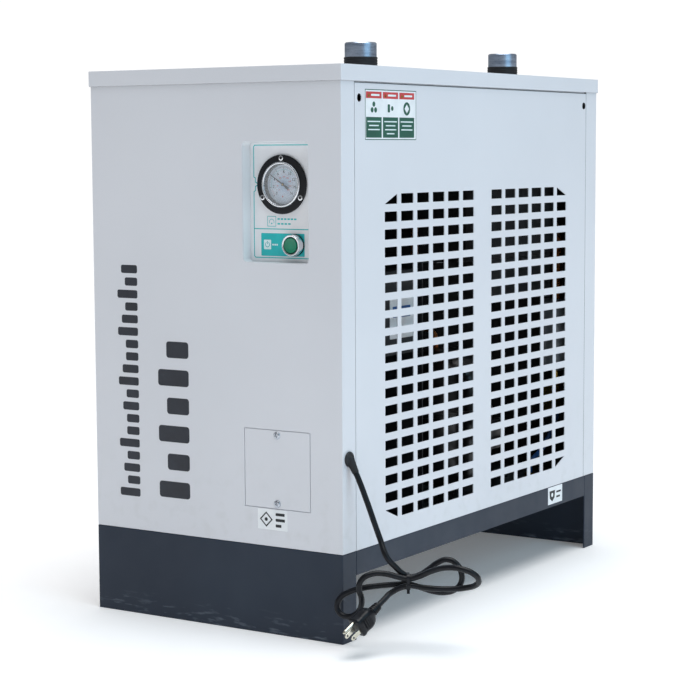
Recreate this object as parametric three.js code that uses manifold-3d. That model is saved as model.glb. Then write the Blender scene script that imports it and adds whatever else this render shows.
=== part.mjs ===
// Refrigerated air dryer: a sheet-metal cabinet on a fork-lift base, with a control recess, a
// slotted side panel, two air ports on the lid, its refrigeration circuit inside, and a tied-up
// mains lead. Millimetres, +Z up, front face towards -Y, origin at the middle of the footprint.

import * as THREE from 'three';
import { mergeGeometries, mergeVertices } from 'three/addons/utils/BufferGeometryUtils.js';
import Module from 'manifold-3d';

const wasm = await Module();
wasm.setup();

// ---- Driving dimensions ----

const width = 428;              // across the front panel
const depth = 788;              // front face to rear face
const height = 785;             // floor to the top of the lid
const baseHeight = 124;
const gap = 0.3;                // clearance between pieces that touch

const sheet = 1.5;              // cabinet sheet
const baseSheet = 2.5;
const baseProud = 0.6;          // the base stands this far in front of the panels
const legWidth = 34;            // side returns of the base's front and rear channels
const railHeight = 34;
const railDepth = 30;
const panSheet = 2;

const lidSkirt = 22;
const lidOverhang = 2;
const lidPlay = 0.5;            // between the panels and the inside of the lid's skirt
const panelUnderLid = 17;       // how far the front and rear panels reach up inside the lid
const frontWrap = 33.5;         // side flanges of the front panel
const rearWrap = 39;
const panelReturn = 14;         // folded edges of the panels
const sideSeam = 0.8;           // open joint between a side panel and its neighbours
const lidSeam = 2;              // open joint between a side panel and the lid

const slotWidth = 33.8;
const slotHeight = 14;
const columnPitch = 44.3;
const rowPitch = 24.58;
const middlePitch = 89;         // between the two columns beside the panel's middle
const grilleTopMargin = 150.7;
const grilleBottomMargin = 28;
const grilleEndMargin = 70;
const panelHoleRadius = 5.8;
const panelHoleInset = 12;
const panelHoleDrop = 20;

const recessWidth = 108.5;
const recessHeight = 165;
const recessDepth = 19;
const recessCorner = 6;
const recessRight = 53;         // from the cabinet's right side to the recess
const recessTop = 102;          // from the top of the lid to the recess
const trayWall = 1.2;
const trayFlange = 6;
const overlayThickness = 0.4;
const overlayInset = 1.5;

const gaugeFlangeRadius = 40.5;
const gaugeFlangeThickness = 3;
const gaugeRadius = 30;
const gaugeWall = 2.2;
const gaugeStand = 5;           // the case's rim in front of its flange
const gaugeBack = 31;           // the case behind its flange
const gaugeDrop = 58.5;         // recess top to the gauge's centre
const gaugeInset = 54;          // recess right side to the gauge's centre
const bezelWall = 1;
const bezelLip = 1.8;
const lensThickness = 1.6;
const dialDepth = 8.4;          // dial face behind the case's rim
const dialThickness = 0.8;
const needleLength = 21;
const needleTail = 9;
const needleAngle = 147;        // degrees, counter-clockwise from pointing right
const spindleRadius = 1.2;

const buttonDrop = 141;         // recess top to the button's centre
const buttonInset = 33.6;
const buttonBarrel = 10.8;
const buttonFlange = 15.2;
const buttonRing = 14.6;
const buttonRingStand = 10.5;
const buttonCap = 11.8;
const buttonCapHeight = 7;
const buttonTravel = 4;
const buttonDepth = 40;         // barrel behind the tray
const contactSize = 30;
const contactDepth = 34;

const coverWidth = 108.5;
const coverHeight = 108.8;
const coverRight = 53.2;
const coverBottom = 54;         // above the base
const coverGap = 0.9;           // open joint round the cover
const coverSeat = 9;            // width of the ledge behind the cover
const coverScrewInset = 6.5;
const screwHead = 5;
const screwHeadHeight = 1.5;

const portX = 120;
const inletFromFront = 200;
const outletFromRear = 156;
const portRadius = 23;
const portBore = 19;
const portStand = 39;           // above the lid
const portBelow = 40;           // below the lid
const portThread = 28;          // depth of the threaded bore
const portSealWall = 2.6;
const portSealHeight = 18;

const exchangerWidth = 190;
const exchangerLength = 300;
const exchangerHeight = height * 0.255;
const exchangerFromRear = 90;
const exchangerFromRight = 32;
const exchangerFromTop = 85;
const exchangerEdge = 10;
const pipeRadius = 17;
const pipeBend = 55;

const compressorRadius = 72;
const compressorHeight = height * 0.2675;
const compressorFromRight = 27; // from the shell to the cabinet's right side
const compressorFromRear = 334;
const footHeight = 24;
const footRadius = 14;
const footCircle = compressorRadius + 20;

const coilThickness = 40;
const coilLength = 300;
const coilHeight = height * 0.3822;
const coilFromLeft = 128;
const coilFromRear = 154;
const coilAbovePan = 44;
const shroudDepth = 30;
const shroudSheet = 2;
const fanOpening = coilHeight / 2 - 22;
const fanRadius = fanOpening - 6;
const fanHub = 32;
const fanBlades = 5;
const fanPitch = 28;
const fanDepth = 16;
const bladeSheet = 1.6;
const bladeRoot = 6;            // how far a blade reaches into the hub
const bladeTipRoom = 3;         // from a blade's tip to the fan's outer circle
const motorRadius = 40;
const motorLength = 62;

const copper = 6;               // radius of the refrigerant lines
const drierRadius = 10;
const drierLength = 110;

const separatorRadius = 25;
const separatorHeight = height * 0.153;
const separatorFromRight = 46;
const separatorFromRear = 49;
const separatorShare = 0.47;     // of the room below the exchanger, up to the bowl's foot
const drainFromRear = 145;

const glandFromFront = 15;
const glandAboveBase = 130;
const glandFlange = 10.5;
const glandDroop = 62;          // degrees that the sleeve points below level
const glandSleeve = 20;
const cordRadius = 4;

// ---- Places worked out from them ----

const right = width / 2;
const front = -depth / 2;
const rear = depth / 2;
const panTop = baseHeight + gap + panSheet;
const lidBottom = height - lidSkirt;
const panelTop = lidBottom + panelUnderLid;
const sideFront = front + frontWrap + sideSeam;
const sideRear = rear - rearWrap - sideSeam;
const sideBottom = baseHeight + gap;
const sideTop = lidBottom - lidSeam;

const dryer = new THREE.Group();

// ---- Shape helpers ----

function paint(color, roughness, metalness = 0) {
  return new THREE.MeshStandardMaterial({ color, roughness, metalness });
}

function add(name, geometry, material, parent = dryer) {
  const mesh = new THREE.Mesh(geometry, material);
  mesh.name = name;
  parent.add(mesh);
  return mesh;
}

// A block from its lowest to its highest corner.
function block(x0, x1, y0, y1, z0, z1) {
  const box = new THREE.BoxGeometry(x1 - x0, y1 - y0, z1 - z0);
  return box.translate((x0 + x1) / 2, (y0 + y1) / 2, (z0 + z1) / 2);
}

// Turns a geometry so that its own X, Y and Z lie along the three given directions.
function turnTo(geometry, x, y, z) {
  const basis = new THREE.Matrix4();
  basis.makeBasis(new THREE.Vector3(...x), new THREE.Vector3(...y), new THREE.Vector3(...z));
  return geometry.applyMatrix4(basis);
}

// Turned pieces: the profile is [radius, distance along the axis], from the axis to the axis.
function turned(profile, segments = 24) {
  return new THREE.LatheGeometry(profile.map(([r, h]) => new THREE.Vector2(r, h)), segments);
}

const upright = (geometry) => turnTo(geometry, [1, 0, 0], [0, 0, 1], [0, -1, 0]);
const facingFront = (geometry) => turnTo(geometry, [1, 0, 0], [0, -1, 0], [0, 0, -1]);
const facingRight = (geometry) => turnTo(geometry, [0, 1, 0], [1, 0, 0], [0, 0, -1]);

function cylinder(radius, from, to, segments = 24) {
  return turned([[0, from], [radius, from], [radius, to], [0, to]], segments);
}

function ring(outer, inner, from, to, segments = 24) {
  return turned([[inner, from], [outer, from], [outer, to], [inner, to], [inner, from]], segments);
}

// A flat outline in the front's plane (x, z), from y0 to y1.
function frontPrism(shape, y0, y1, curveSegments = 4) {
  const depthOfCut = y1 - y0;
  const prism = new THREE.ExtrudeGeometry(shape, { depth: depthOfCut, bevelEnabled: false, curveSegments });
  return turnTo(prism, [1, 0, 0], [0, 0, 1], [0, -1, 0]).translate(0, y1, 0);
}

// A flat outline in the side's plane (y, z), from x0 to x1.
function sidePrism(shape, x0, x1) {
  const prism = new THREE.ExtrudeGeometry(shape, { depth: x1 - x0, bevelEnabled: false });
  return turnTo(prism, [0, 1, 0], [0, 0, 1], [1, 0, 0]).translate(x0, 0, 0);
}

function roundedOutline(x0, x1, z0, z1, corner) {
  const outline = new THREE.Shape();
  outline.absarc(x1 - corner, z1 - corner, corner, 0, Math.PI / 2);
  outline.absarc(x0 + corner, z1 - corner, corner, Math.PI / 2, Math.PI);
  outline.absarc(x0 + corner, z0 + corner, corner, Math.PI, Math.PI * 1.5);
  outline.absarc(x1 - corner, z0 + corner, corner, Math.PI * 1.5, Math.PI * 2);
  return outline;
}

function circleSection(radius, sides) {
  const section = new THREE.Shape();
  for (let i = 0; i < sides; i += 1) {
    const angle = (i / sides) * Math.PI * 2;
    const point = [radius * Math.cos(angle), radius * Math.sin(angle)];
    if (i === 0) section.moveTo(...point);
    else section.lineTo(...point);
  }
  section.closePath();
  return section;
}

function tube(path, radius, steps, sides = 8) {
  return new THREE.ExtrudeGeometry(circleSection(radius, sides), { extrudePath: path, steps });
}

// A smooth path through all its points.
function softPath(points) {
  return new THREE.CatmullRomCurve3(points.map((p) => new THREE.Vector3(...p)), false, 'centripetal');
}

// A path of straight runs with a bend of one radius at each corner.
function pipePath(points, bend) {
  const corners = points.map((p) => new THREE.Vector3(...p));
  const path = new THREE.CurvePath();
  let from = corners[0];
  for (let i = 1; i < corners.length - 1; i += 1) {
    const inward = corners[i - 1].clone().sub(corners[i]).setLength(bend);
    const outward = corners[i + 1].clone().sub(corners[i]).setLength(bend);
    const start = corners[i].clone().add(inward);
    const end = corners[i].clone().add(outward);
    path.add(new THREE.LineCurve3(from, start));
    path.add(new THREE.QuadraticBezierCurve3(start, corners[i], end));
    from = end;
  }
  path.add(new THREE.LineCurve3(from, corners[corners.length - 1]));
  return path;
}

// ---- Joining and cutting ----

function toSolid(geometry) {
  const bare = geometry.clone();
  bare.deleteAttribute('normal');
  bare.deleteAttribute('uv');
  const merged = mergeVertices(bare, 1e-4);
  const index = merged.index.array;
  const kept = [];
  for (let i = 0; i < index.length; i += 3) {
    const [a, b, c] = [index[i], index[i + 1], index[i + 2]];
    if (a !== b && b !== c && c !== a) kept.push(a, b, c);
  }
  const vertProperties = new Float32Array(merged.attributes.position.array);
  return new wasm.Manifold(new wasm.Mesh({ numProp: 3, vertProperties, triVerts: new Uint32Array(kept) }));
}

function toGeometry(solid) {
  const mesh = solid.getMesh();
  const geometry = new THREE.BufferGeometry();
  geometry.setAttribute('position', new THREE.BufferAttribute(new Float32Array(mesh.vertProperties), 3));
  geometry.setIndex(new THREE.BufferAttribute(new Uint32Array(mesh.triVerts), 1));
  geometry.computeVertexNormals();
  return geometry;
}

function cut(geometry, ...tools) {
  return toGeometry(tools.reduce((solid, tool) => solid.subtract(toSolid(tool)), toSolid(geometry)));
}

function join(geometry, ...others) {
  return toGeometry(others.reduce((solid, other) => solid.add(toSolid(other)), toSolid(geometry)));
}

// Copies of a geometry-making function at several angles round +Z, as one list.
function around(count, startAngle, make) {
  const copies = [];
  for (let i = 0; i < count; i += 1) {
    copies.push(make().rotateZ(startAngle + (i * Math.PI * 2) / count));
  }
  return copies;
}

// ---- Base ----

const baseBlue = () => paint(0x39424f, 0.55);
const panelWhite = () => paint(0xd4dae3, 0.45);

// A channel across the cabinet: front face, two legs folded back from it, and a top flange.
function baseChannel(name, facing) {
  const face = (depth / 2 + baseProud) * facing;
  const inner = (depth / 2 - legWidth) * facing;
  const skin = (depth / 2 + baseProud - baseSheet) * facing;
  const past = inner - facing;
  const outer = block(-right, right, Math.min(face, inner), Math.max(face, inner), 0, baseHeight);
  const hollow = block(
    -right + baseSheet, right - baseSheet,
    Math.min(skin, past), Math.max(skin, past),
    -1, baseHeight - baseSheet,
  );
  add(name, cut(outer, hollow), baseBlue());
}

// The rail over a fork opening: a channel that is open inwards.
function baseRail(name, side) {
  const railBottom = baseHeight - railHeight;
  const reach = depth / 2 - legWidth - gap;
  const web = right * side;
  const lip = (right - railDepth) * side;
  const inside = (right - baseSheet) * side;
  const past = lip - side;
  const outer = block(Math.min(web, lip), Math.max(web, lip), -reach, reach, railBottom, baseHeight);
  const hollow = block(
    Math.min(inside, past), Math.max(inside, past),
    -reach - 1, reach + 1,
    railBottom + baseSheet, baseHeight - baseSheet,
  );
  add(name, cut(outer, hollow), baseBlue());
}

const drainX = right - separatorFromRight;
const drainY = rear - drainFromRear;
const drainBarrel = 8;

function floorPan() {
  const halfWidth = right - sheet - panelReturn - 2 * gap;
  const halfLength = depth / 2 - sheet - gap;
  const bottom = baseHeight + gap;
  const plate = block(-halfWidth, halfWidth, -halfLength, halfLength, bottom, panTop);
  const drainHole = upright(cylinder(drainBarrel + gap, bottom - 1, panTop + 1, 20));
  add('floor_pan', cut(plate, drainHole.translate(drainX, drainY, 0)), paint(0x9aa1a8, 0.5, 0.6));
}

// ---- Cabinet panels ----

// A plate across the cabinet with side flanges folded back and a lip inside each flange.
function wrappedPanel(facing, wrap) {
  const face = (depth / 2) * facing;
  const edge = (depth / 2 - wrap) * facing;
  const skin = (depth / 2 - sheet) * facing;
  const lipFace = (depth / 2 - wrap + sheet) * facing;
  const bottom = baseHeight + gap;
  const outer = block(-right, right, Math.min(face, edge), Math.max(face, edge), bottom, panelTop);
  const lipWidth = right - sheet - panelReturn;
  const between = block(
    -right + sheet, right - sheet,
    Math.min(skin, lipFace), Math.max(skin, lipFace),
    bottom - 1, panelTop + 1,
  );
  const past = edge - facing;
  const mouth = block(
    -lipWidth, lipWidth,
    Math.min(skin, past), Math.max(skin, past),
    bottom - 1, panelTop + 1,
  );
  return cut(outer, between, mouth);
}

const recessX1 = right - recessRight;
const recessX0 = recessX1 - recessWidth;
const recessZ1 = height - recessTop;
const recessZ0 = recessZ1 - recessHeight;
const coverX1 = right - coverRight;
const coverX0 = coverX1 - coverWidth;
const coverZ0 = baseHeight + coverBottom;
const coverZ1 = coverZ0 + coverHeight;
const coverMiddle = (coverX0 + coverX1) / 2;
const coverScrewHeights = [coverZ0 + coverScrewInset, coverZ1 - coverScrewInset];
const coverBack = front + sheet;
const seatBack = coverBack + gap + sheet;
const shankRadius = 1.6;

function frontPanel() {
  const window = frontPrism(
    roundedOutline(recessX0, recessX1, recessZ0, recessZ1, recessCorner), front - 1, front + sheet + 1,
  );
  const seat = block(
    coverX0 - coverSeat, coverX1 + coverSeat,
    front, seatBack,
    coverZ0 - coverSeat, coverZ1 + coverSeat,
  );
  const pocket = block(
    coverX0 - coverGap, coverX1 + coverGap,
    front - 1, coverBack + gap,
    coverZ0 - coverGap, coverZ1 + coverGap,
  );
  const opening = block(
    coverX0 + coverSeat, coverX1 - coverSeat,
    front - 1, seatBack + 1,
    coverZ0 + 2 * coverSeat, coverZ1 - 2 * coverSeat,
  );
  const screwHoles = coverScrewHeights.map((z) => (
    facingFront(cylinder(shankRadius + gap, -1, 20, 12)).translate(coverMiddle, seatBack, z)
  ));
  const glandHole = facingRight(cylinder(glandShank + gap, -sheet - 1, 1, 20));
  glandHole.translate(right, glandY, glandZ);
  const blank = join(wrappedPanel(-1, frontWrap), seat);
  const panel = cut(blank, window, pocket, opening, glandHole, ...screwHoles);
  add('front_panel', panel, panelWhite());
}

// The cutting tool for a field of slots in a side panel, whose corner slots are cut off diagonally.
function slotField(centres, rows, top, x0, x1) {
  const slots = [];
  const first = 0;
  const last = centres.length - 1;
  for (let row = 0; row < rows; row += 1) {
    const z1 = top - row * rowPitch;
    const z0 = z1 - slotHeight;
    centres.forEach((centre, column) => {
      const outward = column === first ? -1 : 1;
      const atEnd = column === first || column === last;
      const atEdge = row === 0 || row === rows - 1;
      const innerY = centre - (outward * slotWidth) / 2;
      const outerY = centre + (outward * slotWidth) / 2;
      if (atEnd && atEdge) {
        const outerZ = row === 0 ? z0 : z1;
        const corner = new THREE.Shape([
          new THREE.Vector2(innerY, z0), new THREE.Vector2(innerY, z1), new THREE.Vector2(outerY, outerZ),
        ]);
        slots.push(toGeometry(toSolid(sidePrism(corner, x0, x1))));
      } else {
        slots.push(toGeometry(toSolid(block(
          x0, x1, centre - slotWidth / 2, centre + slotWidth / 2, z0, z1,
        ))));
      }
    });
  }
  return mergeGeometries(slots);
}

const grilleTop = sideTop - grilleTopMargin;
const grilleSpan = grilleTop - slotHeight - sideBottom - grilleBottomMargin;
const grilleRows = Math.floor(grilleSpan / rowPitch) + 1;
const grilleReach = sideRear - grilleEndMargin - slotWidth / 2 - middlePitch / 2;
const columnsPerHalf = Math.floor(grilleReach / columnPitch) + 1;

// Column centres of one half of a panel, from the middle outwards.
function halfColumns(sign) {
  const centres = [];
  for (let i = 0; i < columnsPerHalf; i += 1) {
    centres.push(sign * (middlePitch / 2 + i * columnPitch));
  }
  return centres;
}

// A shallow pan with folded edges; the slots are given as columns.
function sidePanel(name, side, centres) {
  const x0 = Math.min(side * right, side * (right - sheet - panelReturn));
  const x1 = Math.max(side * right, side * (right - sheet - panelReturn));
  const outer = block(x0, x1, sideFront, sideRear, sideBottom, sideTop);
  const hollow = block(
    x0 - (side > 0 ? 1 : -sheet), x1 + (side > 0 ? -sheet : 1),
    sideFront + sheet, sideRear - sheet,
    sideBottom + sheet, sideTop - sheet,
  );
  const cutFrom = Math.min(side * (right - sheet - 1), side * (right + 1));
  const cutTo = Math.max(side * (right - sheet - 1), side * (right + 1));
  const slots = slotField(centres, grilleRows, grilleTop, cutFrom, cutTo);
  const holes = [sideFront + panelHoleInset, sideRear - panelHoleInset + 4].map((y) => (
    facingRight(cylinder(panelHoleRadius, cutFrom, cutTo, 20)).translate(0, y, sideTop - panelHoleDrop)
  ));
  add(name, cut(outer, hollow, slots, ...holes), panelWhite());
}

const rearSlotRows = 6;
const rearSlotColumns = 5;
const rearSlotTopMargin = 120;

function rearPanel() {
  const slots = [];
  for (let row = 0; row < rearSlotRows; row += 1) {
    for (let column = 0; column < rearSlotColumns; column += 1) {
      const x = (column - (rearSlotColumns - 1) / 2) * columnPitch;
      const z = panelTop - rearSlotTopMargin - row * rowPitch;
      slots.push(block(
        x - slotWidth / 2, x + slotWidth / 2, rear - sheet - 1, rear + 1, z - slotHeight, z,
      ));
    }
  }
  add('rear_panel', cut(wrappedPanel(1, rearWrap), mergeGeometries(slots)), panelWhite());
}

const inletY = front + inletFromFront;
const outletY = rear - outletFromRear;

function topLid() {
  const halfWidth = right + lidOverhang;
  const halfLength = depth / 2 + lidOverhang;
  const outer = block(-halfWidth, halfWidth, -halfLength, halfLength, lidBottom, height);
  const hollow = block(
    -right - lidPlay, right + lidPlay,
    front - lidPlay, rear + lidPlay,
    lidBottom - 1, height - sheet,
  );
  const holes = [inletY, outletY].map((y) => (
    upright(cylinder(portRadius + gap, height - 5, height + 1, 28)).translate(portX, y, 0)
  ));
  const shell = cut(outer, hollow, ...holes);
  add('top_lid', join(shell, lidAngle(1), lidAngle(-1)), panelWhite());
}

// An angle welded under the lid, above the edge of a side panel.
function lidAngle(side) {
  const angleLeg = 24;
  const outerFace = (right - 3) * side;
  const innerFace = (right - 3 - angleLeg) * side;
  const web = (right - 3 - sheet) * side;
  const bottom = sideTop + 2 * gap;
  const top = height - sheet / 2;
  const outer = block(
    Math.min(outerFace, innerFace), Math.max(outerFace, innerFace), sideFront, sideRear, bottom, top,
  );
  const past = innerFace - side;
  const hollow = block(
    Math.min(web, past), Math.max(web, past), sideFront - 1, sideRear + 1, bottom + sheet, top + 1,
  );
  return cut(outer, hollow);
}

// ---- Control recess ----

const recessFloor = front + recessDepth;
const overlayFace = recessFloor - gap - overlayThickness;
const gaugeX = recessX1 - gaugeInset;
const gaugeZ = recessZ1 - gaugeDrop;
const buttonX = recessX1 - buttonInset;
const buttonZ = recessZ1 - buttonDrop;
const flangeBack = overlayFace - gap;
const gaugeFlangeFace = flangeBack - gaugeFlangeThickness;

function controlHoles(from, to) {
  return [
    facingFront(cylinder(gaugeRadius + gap, -to, -from, 28)).translate(gaugeX, 0, gaugeZ),
    facingFront(cylinder(buttonBarrel + gap, -to, -from, 20)).translate(buttonX, 0, buttonZ),
  ];
}

function controlTray() {
  const lipFace = front + sheet + gap;
  const flange = frontPrism(
    roundedOutline(
      recessX0 - trayFlange, recessX1 + trayFlange, recessZ0 - trayFlange, recessZ1 + trayFlange,
      recessCorner,
    ),
    lipFace, lipFace + trayWall,
  );
  const walls = frontPrism(
    roundedOutline(
      recessX0 - trayWall, recessX1 + trayWall, recessZ0 - trayWall, recessZ1 + trayWall,
      recessCorner + trayWall,
    ),
    lipFace, recessFloor + trayWall,
  );
  const cavity = frontPrism(
    roundedOutline(recessX0, recessX1, recessZ0, recessZ1, recessCorner), lipFace - 1, recessFloor,
  );
  const tray = cut(join(flange, walls), cavity, ...controlHoles(recessFloor - 1, recessFloor + 5));
  add('control_recess_tray', tray, paint(0xc4c8cf, 0.5));
}

function controlOverlay() {
  const film = frontPrism(
    roundedOutline(
      recessX0 + overlayInset, recessX1 - overlayInset, recessZ0 + overlayInset, recessZ1 - overlayInset,
      recessCorner - overlayInset,
    ),
    overlayFace, overlayFace + overlayThickness,
  );
  add('control_overlay', cut(film, ...controlHoles(overlayFace - 1, recessFloor)), paint(0xe9edee, 0.4));
}

// ---- Pressure gauge ----
// Its pieces are turned about an axis through the gauge's centre; distances run towards the front.

const gauge = new THREE.Group();
gauge.position.set(gaugeX, gaugeFlangeFace, gaugeZ);
dryer.add(gauge);

function gaugePieces() {
  const cavityFloor = gaugeStand - dialDepth - dialThickness - gap;
  const caseProfile = [
    [0, -gaugeBack], [gaugeRadius, -gaugeBack], [gaugeRadius, -gaugeFlangeThickness],
    [gaugeFlangeRadius, -gaugeFlangeThickness], [gaugeFlangeRadius, 0],
    [gaugeRadius, 0], [gaugeRadius, gaugeStand],
    [gaugeRadius - gaugeWall, gaugeStand], [gaugeRadius - gaugeWall, cavityFloor],
    [spindleRadius + gap, cavityFloor], [spindleRadius + gap, cavityFloor - 5], [0, cavityFloor - 5],
  ];
  add('gauge_case', facingFront(turned(caseProfile, 32)), paint(0x17181a, 0.45), gauge);

  const lensBack = gaugeStand + gap;
  const lensFace = lensBack + lensThickness;
  const outer = gaugeRadius + gap + bezelWall;
  const mouth = gaugeRadius - 3.4;
  const bezelProfile = [
    [gaugeRadius + gap, gap], [outer, gap], [outer, lensFace + gap + bezelLip - 0.8],
    [outer - 0.8, lensFace + gap + bezelLip], [mouth, lensFace + gap + bezelLip],
    [mouth, lensFace + gap], [gaugeRadius + gap, lensFace + gap], [gaugeRadius + gap, gap],
  ];
  add('gauge_bezel', facingFront(turned(bezelProfile, 32)), paint(0xcfd3d6, 0.15, 1), gauge);
  add('gauge_lens', facingFront(cylinder(gaugeRadius, lensBack, lensFace, 32)), paint(0xf4f8fa, 0.05), gauge);

  const dialFace = gaugeStand - dialDepth;
  const dialRadius = gaugeRadius - gaugeWall - gap;
  const dial = ring(dialRadius, spindleRadius + gap, dialFace - dialThickness, dialFace, 28);
  add('gauge_dial', facingFront(dial), paint(0xdfe8f2, 0.6), gauge);
  gaugeNeedle(dialFace + 2.4, cavityFloor - 4);
}

function gaugeNeedle(back, spindleEnd) {
  const thickness = 0.9;
  const blade = new THREE.Shape([
    new THREE.Vector2(-needleTail, -1.1), new THREE.Vector2(needleLength, -0.35),
    new THREE.Vector2(needleLength, 0.35), new THREE.Vector2(-needleTail, 1.1),
  ]);
  const pointer = frontPrism(blade, -back - thickness, -back);
  const hub = facingFront(cylinder(3.2, back - 0.4, back + thickness + 0.6, 20));
  const tail = facingFront(cylinder(2.2, back, back + thickness, 14)).translate(-needleTail, 0, 0);
  const spindle = facingFront(cylinder(spindleRadius, spindleEnd, back, 12));
  const needle = add('gauge_needle', join(pointer, hub, tail, spindle), paint(0x111214, 0.5), gauge);
  needle.rotation.y = -THREE.MathUtils.degToRad(needleAngle);
}

// A pan-head screw whose head's underside is at 0 along its axis.
function screw(headRadius, headHeight, shank, shankLength) {
  return turned([
    [0, -shankLength], [shank, -shankLength], [shank, 0], [headRadius, 0],
    [headRadius, headHeight * 0.5], [headRadius * 0.7, headHeight], [0, headHeight],
  ], 16);
}

// ---- Push button ----

const button = new THREE.Group();
button.position.set(buttonX, flangeBack, buttonZ);
dryer.add(button);

function pushButton() {
  const flange = 1.4;
  const stem = 6;
  const bore = stem + 0.4;
  const bodyEnd = -buttonDepth;
  const boreEnd = -27;
  const bodyProfile = [
    [0, bodyEnd], [buttonBarrel, bodyEnd], [buttonBarrel, 0], [buttonFlange, 0], [buttonFlange, flange],
    [bore, flange], [bore, boreEnd], [0, boreEnd],
  ];
  add('button_body', facingFront(turned(bodyProfile, 24)), paint(0x1b1c1e, 0.5), button);
  const ringBack = flange + gap;
  const ringFace = ringBack + buttonRingStand;
  const inner = buttonCap + 0.4;
  const ringProfile = [
    [inner, ringBack], [buttonRing, ringBack], [buttonRing, ringFace - 1.2], [buttonRing - 1.2, ringFace],
    [inner, ringFace], [inner, ringBack],
  ];
  add('button_ring', facingFront(turned(ringProfile, 28)), paint(0xd9dcdf, 0.25, 0.9), button);
  const capFace = ringFace + 1;
  const capBack = capFace - buttonCapHeight;
  const stemEnd = boreEnd + buttonTravel + 2;
  const capProfile = [
    [0, stemEnd], [stem, stemEnd], [stem, capBack], [buttonCap, capBack], [buttonCap, capFace - 0.8],
    [buttonCap - 0.8, capFace], [buttonCap - 2.5, capFace], [buttonCap - 4, capFace - 0.6],
    [0, capFace - 0.6],
  ];
  add('button_cap', facingFront(turned(capProfile, 24)), paint(0x0f7a57, 0.35), button);
  const contactFace = buttonDepth + gap;
  const half = contactSize / 2;
  const contacts = block(-half, half, contactFace, contactFace + contactDepth, -half, half);
  add('button_contact_block', contacts, paint(0x202226, 0.5), button);
}

// ---- Access cover ----

function accessCover() {
  const plate = block(coverX0, coverX1, front, coverBack, coverZ0, coverZ1);
  const holes = coverScrewHeights.map((z) => (
    facingFront(cylinder(shankRadius + gap, -5, 5, 12)).translate(coverMiddle, front, z)
  ));
  add('access_cover', cut(plate, ...holes), panelWhite());
  coverScrewHeights.forEach((z, i) => {
    const fastener = facingFront(screw(screwHead, screwHeadHeight, shankRadius, 9));
    fastener.translate(coverMiddle, front - gap, z);
    add(`cover_screw_${i + 1}`, fastener, paint(0xc3c7ca, 0.3, 1));
  });
}

// ---- Air ports ----

function airPort(name, y) {
  const portTop = height + portStand;
  const bottom = height - portBelow;
  const profile = [
    [0, bottom], [portRadius, bottom], [portRadius, portTop], [portBore, portTop],
    [portBore, portTop - portThread], [0, portTop - portThread],
  ];
  const socket = upright(turned(profile, 28)).translate(portX, y, 0);
  add(`${name}_port`, socket, paint(0xaeb2b5, 0.35, 1));
  const inner = portRadius + gap;
  const sealBottom = height + gap;
  const sealTop = height + portSealHeight;
  const seal = turned([
    [inner, sealBottom], [inner + portSealWall + 2, sealBottom], [inner + portSealWall + 2, sealBottom + 3],
    [inner + portSealWall, sealBottom + 5], [inner + portSealWall, sealTop - 1.5],
    [inner + portSealWall - 1.5, sealTop], [inner, sealTop], [inner, sealBottom],
  ], 28);
  add(`${name}_port_seal`, upright(seal).translate(portX, y, 0), paint(0x141516, 0.6));
}

// ---- Heat exchanger and its pipes ----

const exchangerX1 = right - exchangerFromRight;
const exchangerX0 = exchangerX1 - exchangerWidth;
const exchangerY1 = rear - exchangerFromRear;
const exchangerY0 = exchangerY1 - exchangerLength;
const exchangerZ1 = height - exchangerFromTop;
const exchangerZ0 = exchangerZ1 - exchangerHeight;
const inletHeight = exchangerZ1 - 70;

function heatExchanger() {
  const outline = roundedOutline(
    exchangerX0, exchangerX1, exchangerZ0, exchangerZ1, exchangerEdge,
  );
  add('heat_exchanger', frontPrism(outline, exchangerY0, exchangerY1), paint(0x1a1c1f, 0.9));

  const shelfSheet = 2;
  const shelfTop = exchangerZ0 - gap;
  const wall = rear - sheet - gap;
  const flangeDrop = 80;
  const shelfEnd = exchangerX1 - 2 * separatorRadius;
  const shelf = block(exchangerX0, shelfEnd, exchangerY0, wall, shelfTop - shelfSheet, shelfTop);
  const flange = block(exchangerX0, shelfEnd, wall - shelfSheet, wall, shelfTop - flangeDrop, shelfTop);
  add('exchanger_shelf', join(shelf, flange), paint(0x8f959b, 0.5, 0.6));

  const portBottom = height - portBelow - gap;
  const inletRun = pipePath([
    [portX, inletY, portBottom], [portX, inletY, inletHeight], [portX, exchangerY0 - gap, inletHeight],
  ], pipeBend);
  add('inlet_pipe', tube(inletRun, pipeRadius, 14, 12), paint(0x24272a, 0.8));
  const outletRun = new THREE.LineCurve3(
    new THREE.Vector3(portX, outletY, portBottom), new THREE.Vector3(portX, outletY, exchangerZ1 + gap),
  );
  add('outlet_pipe', tube(outletRun, pipeRadius, 1, 12), paint(0x24272a, 0.8));
}

// ---- Compressor ----

const compressorX = right - compressorFromRight - compressorRadius;
const compressorY = rear - compressorFromRear;
const compressorBottom = panTop + footHeight;
const compressorTop = compressorBottom + compressorHeight;
const tabThickness = 4;

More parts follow.
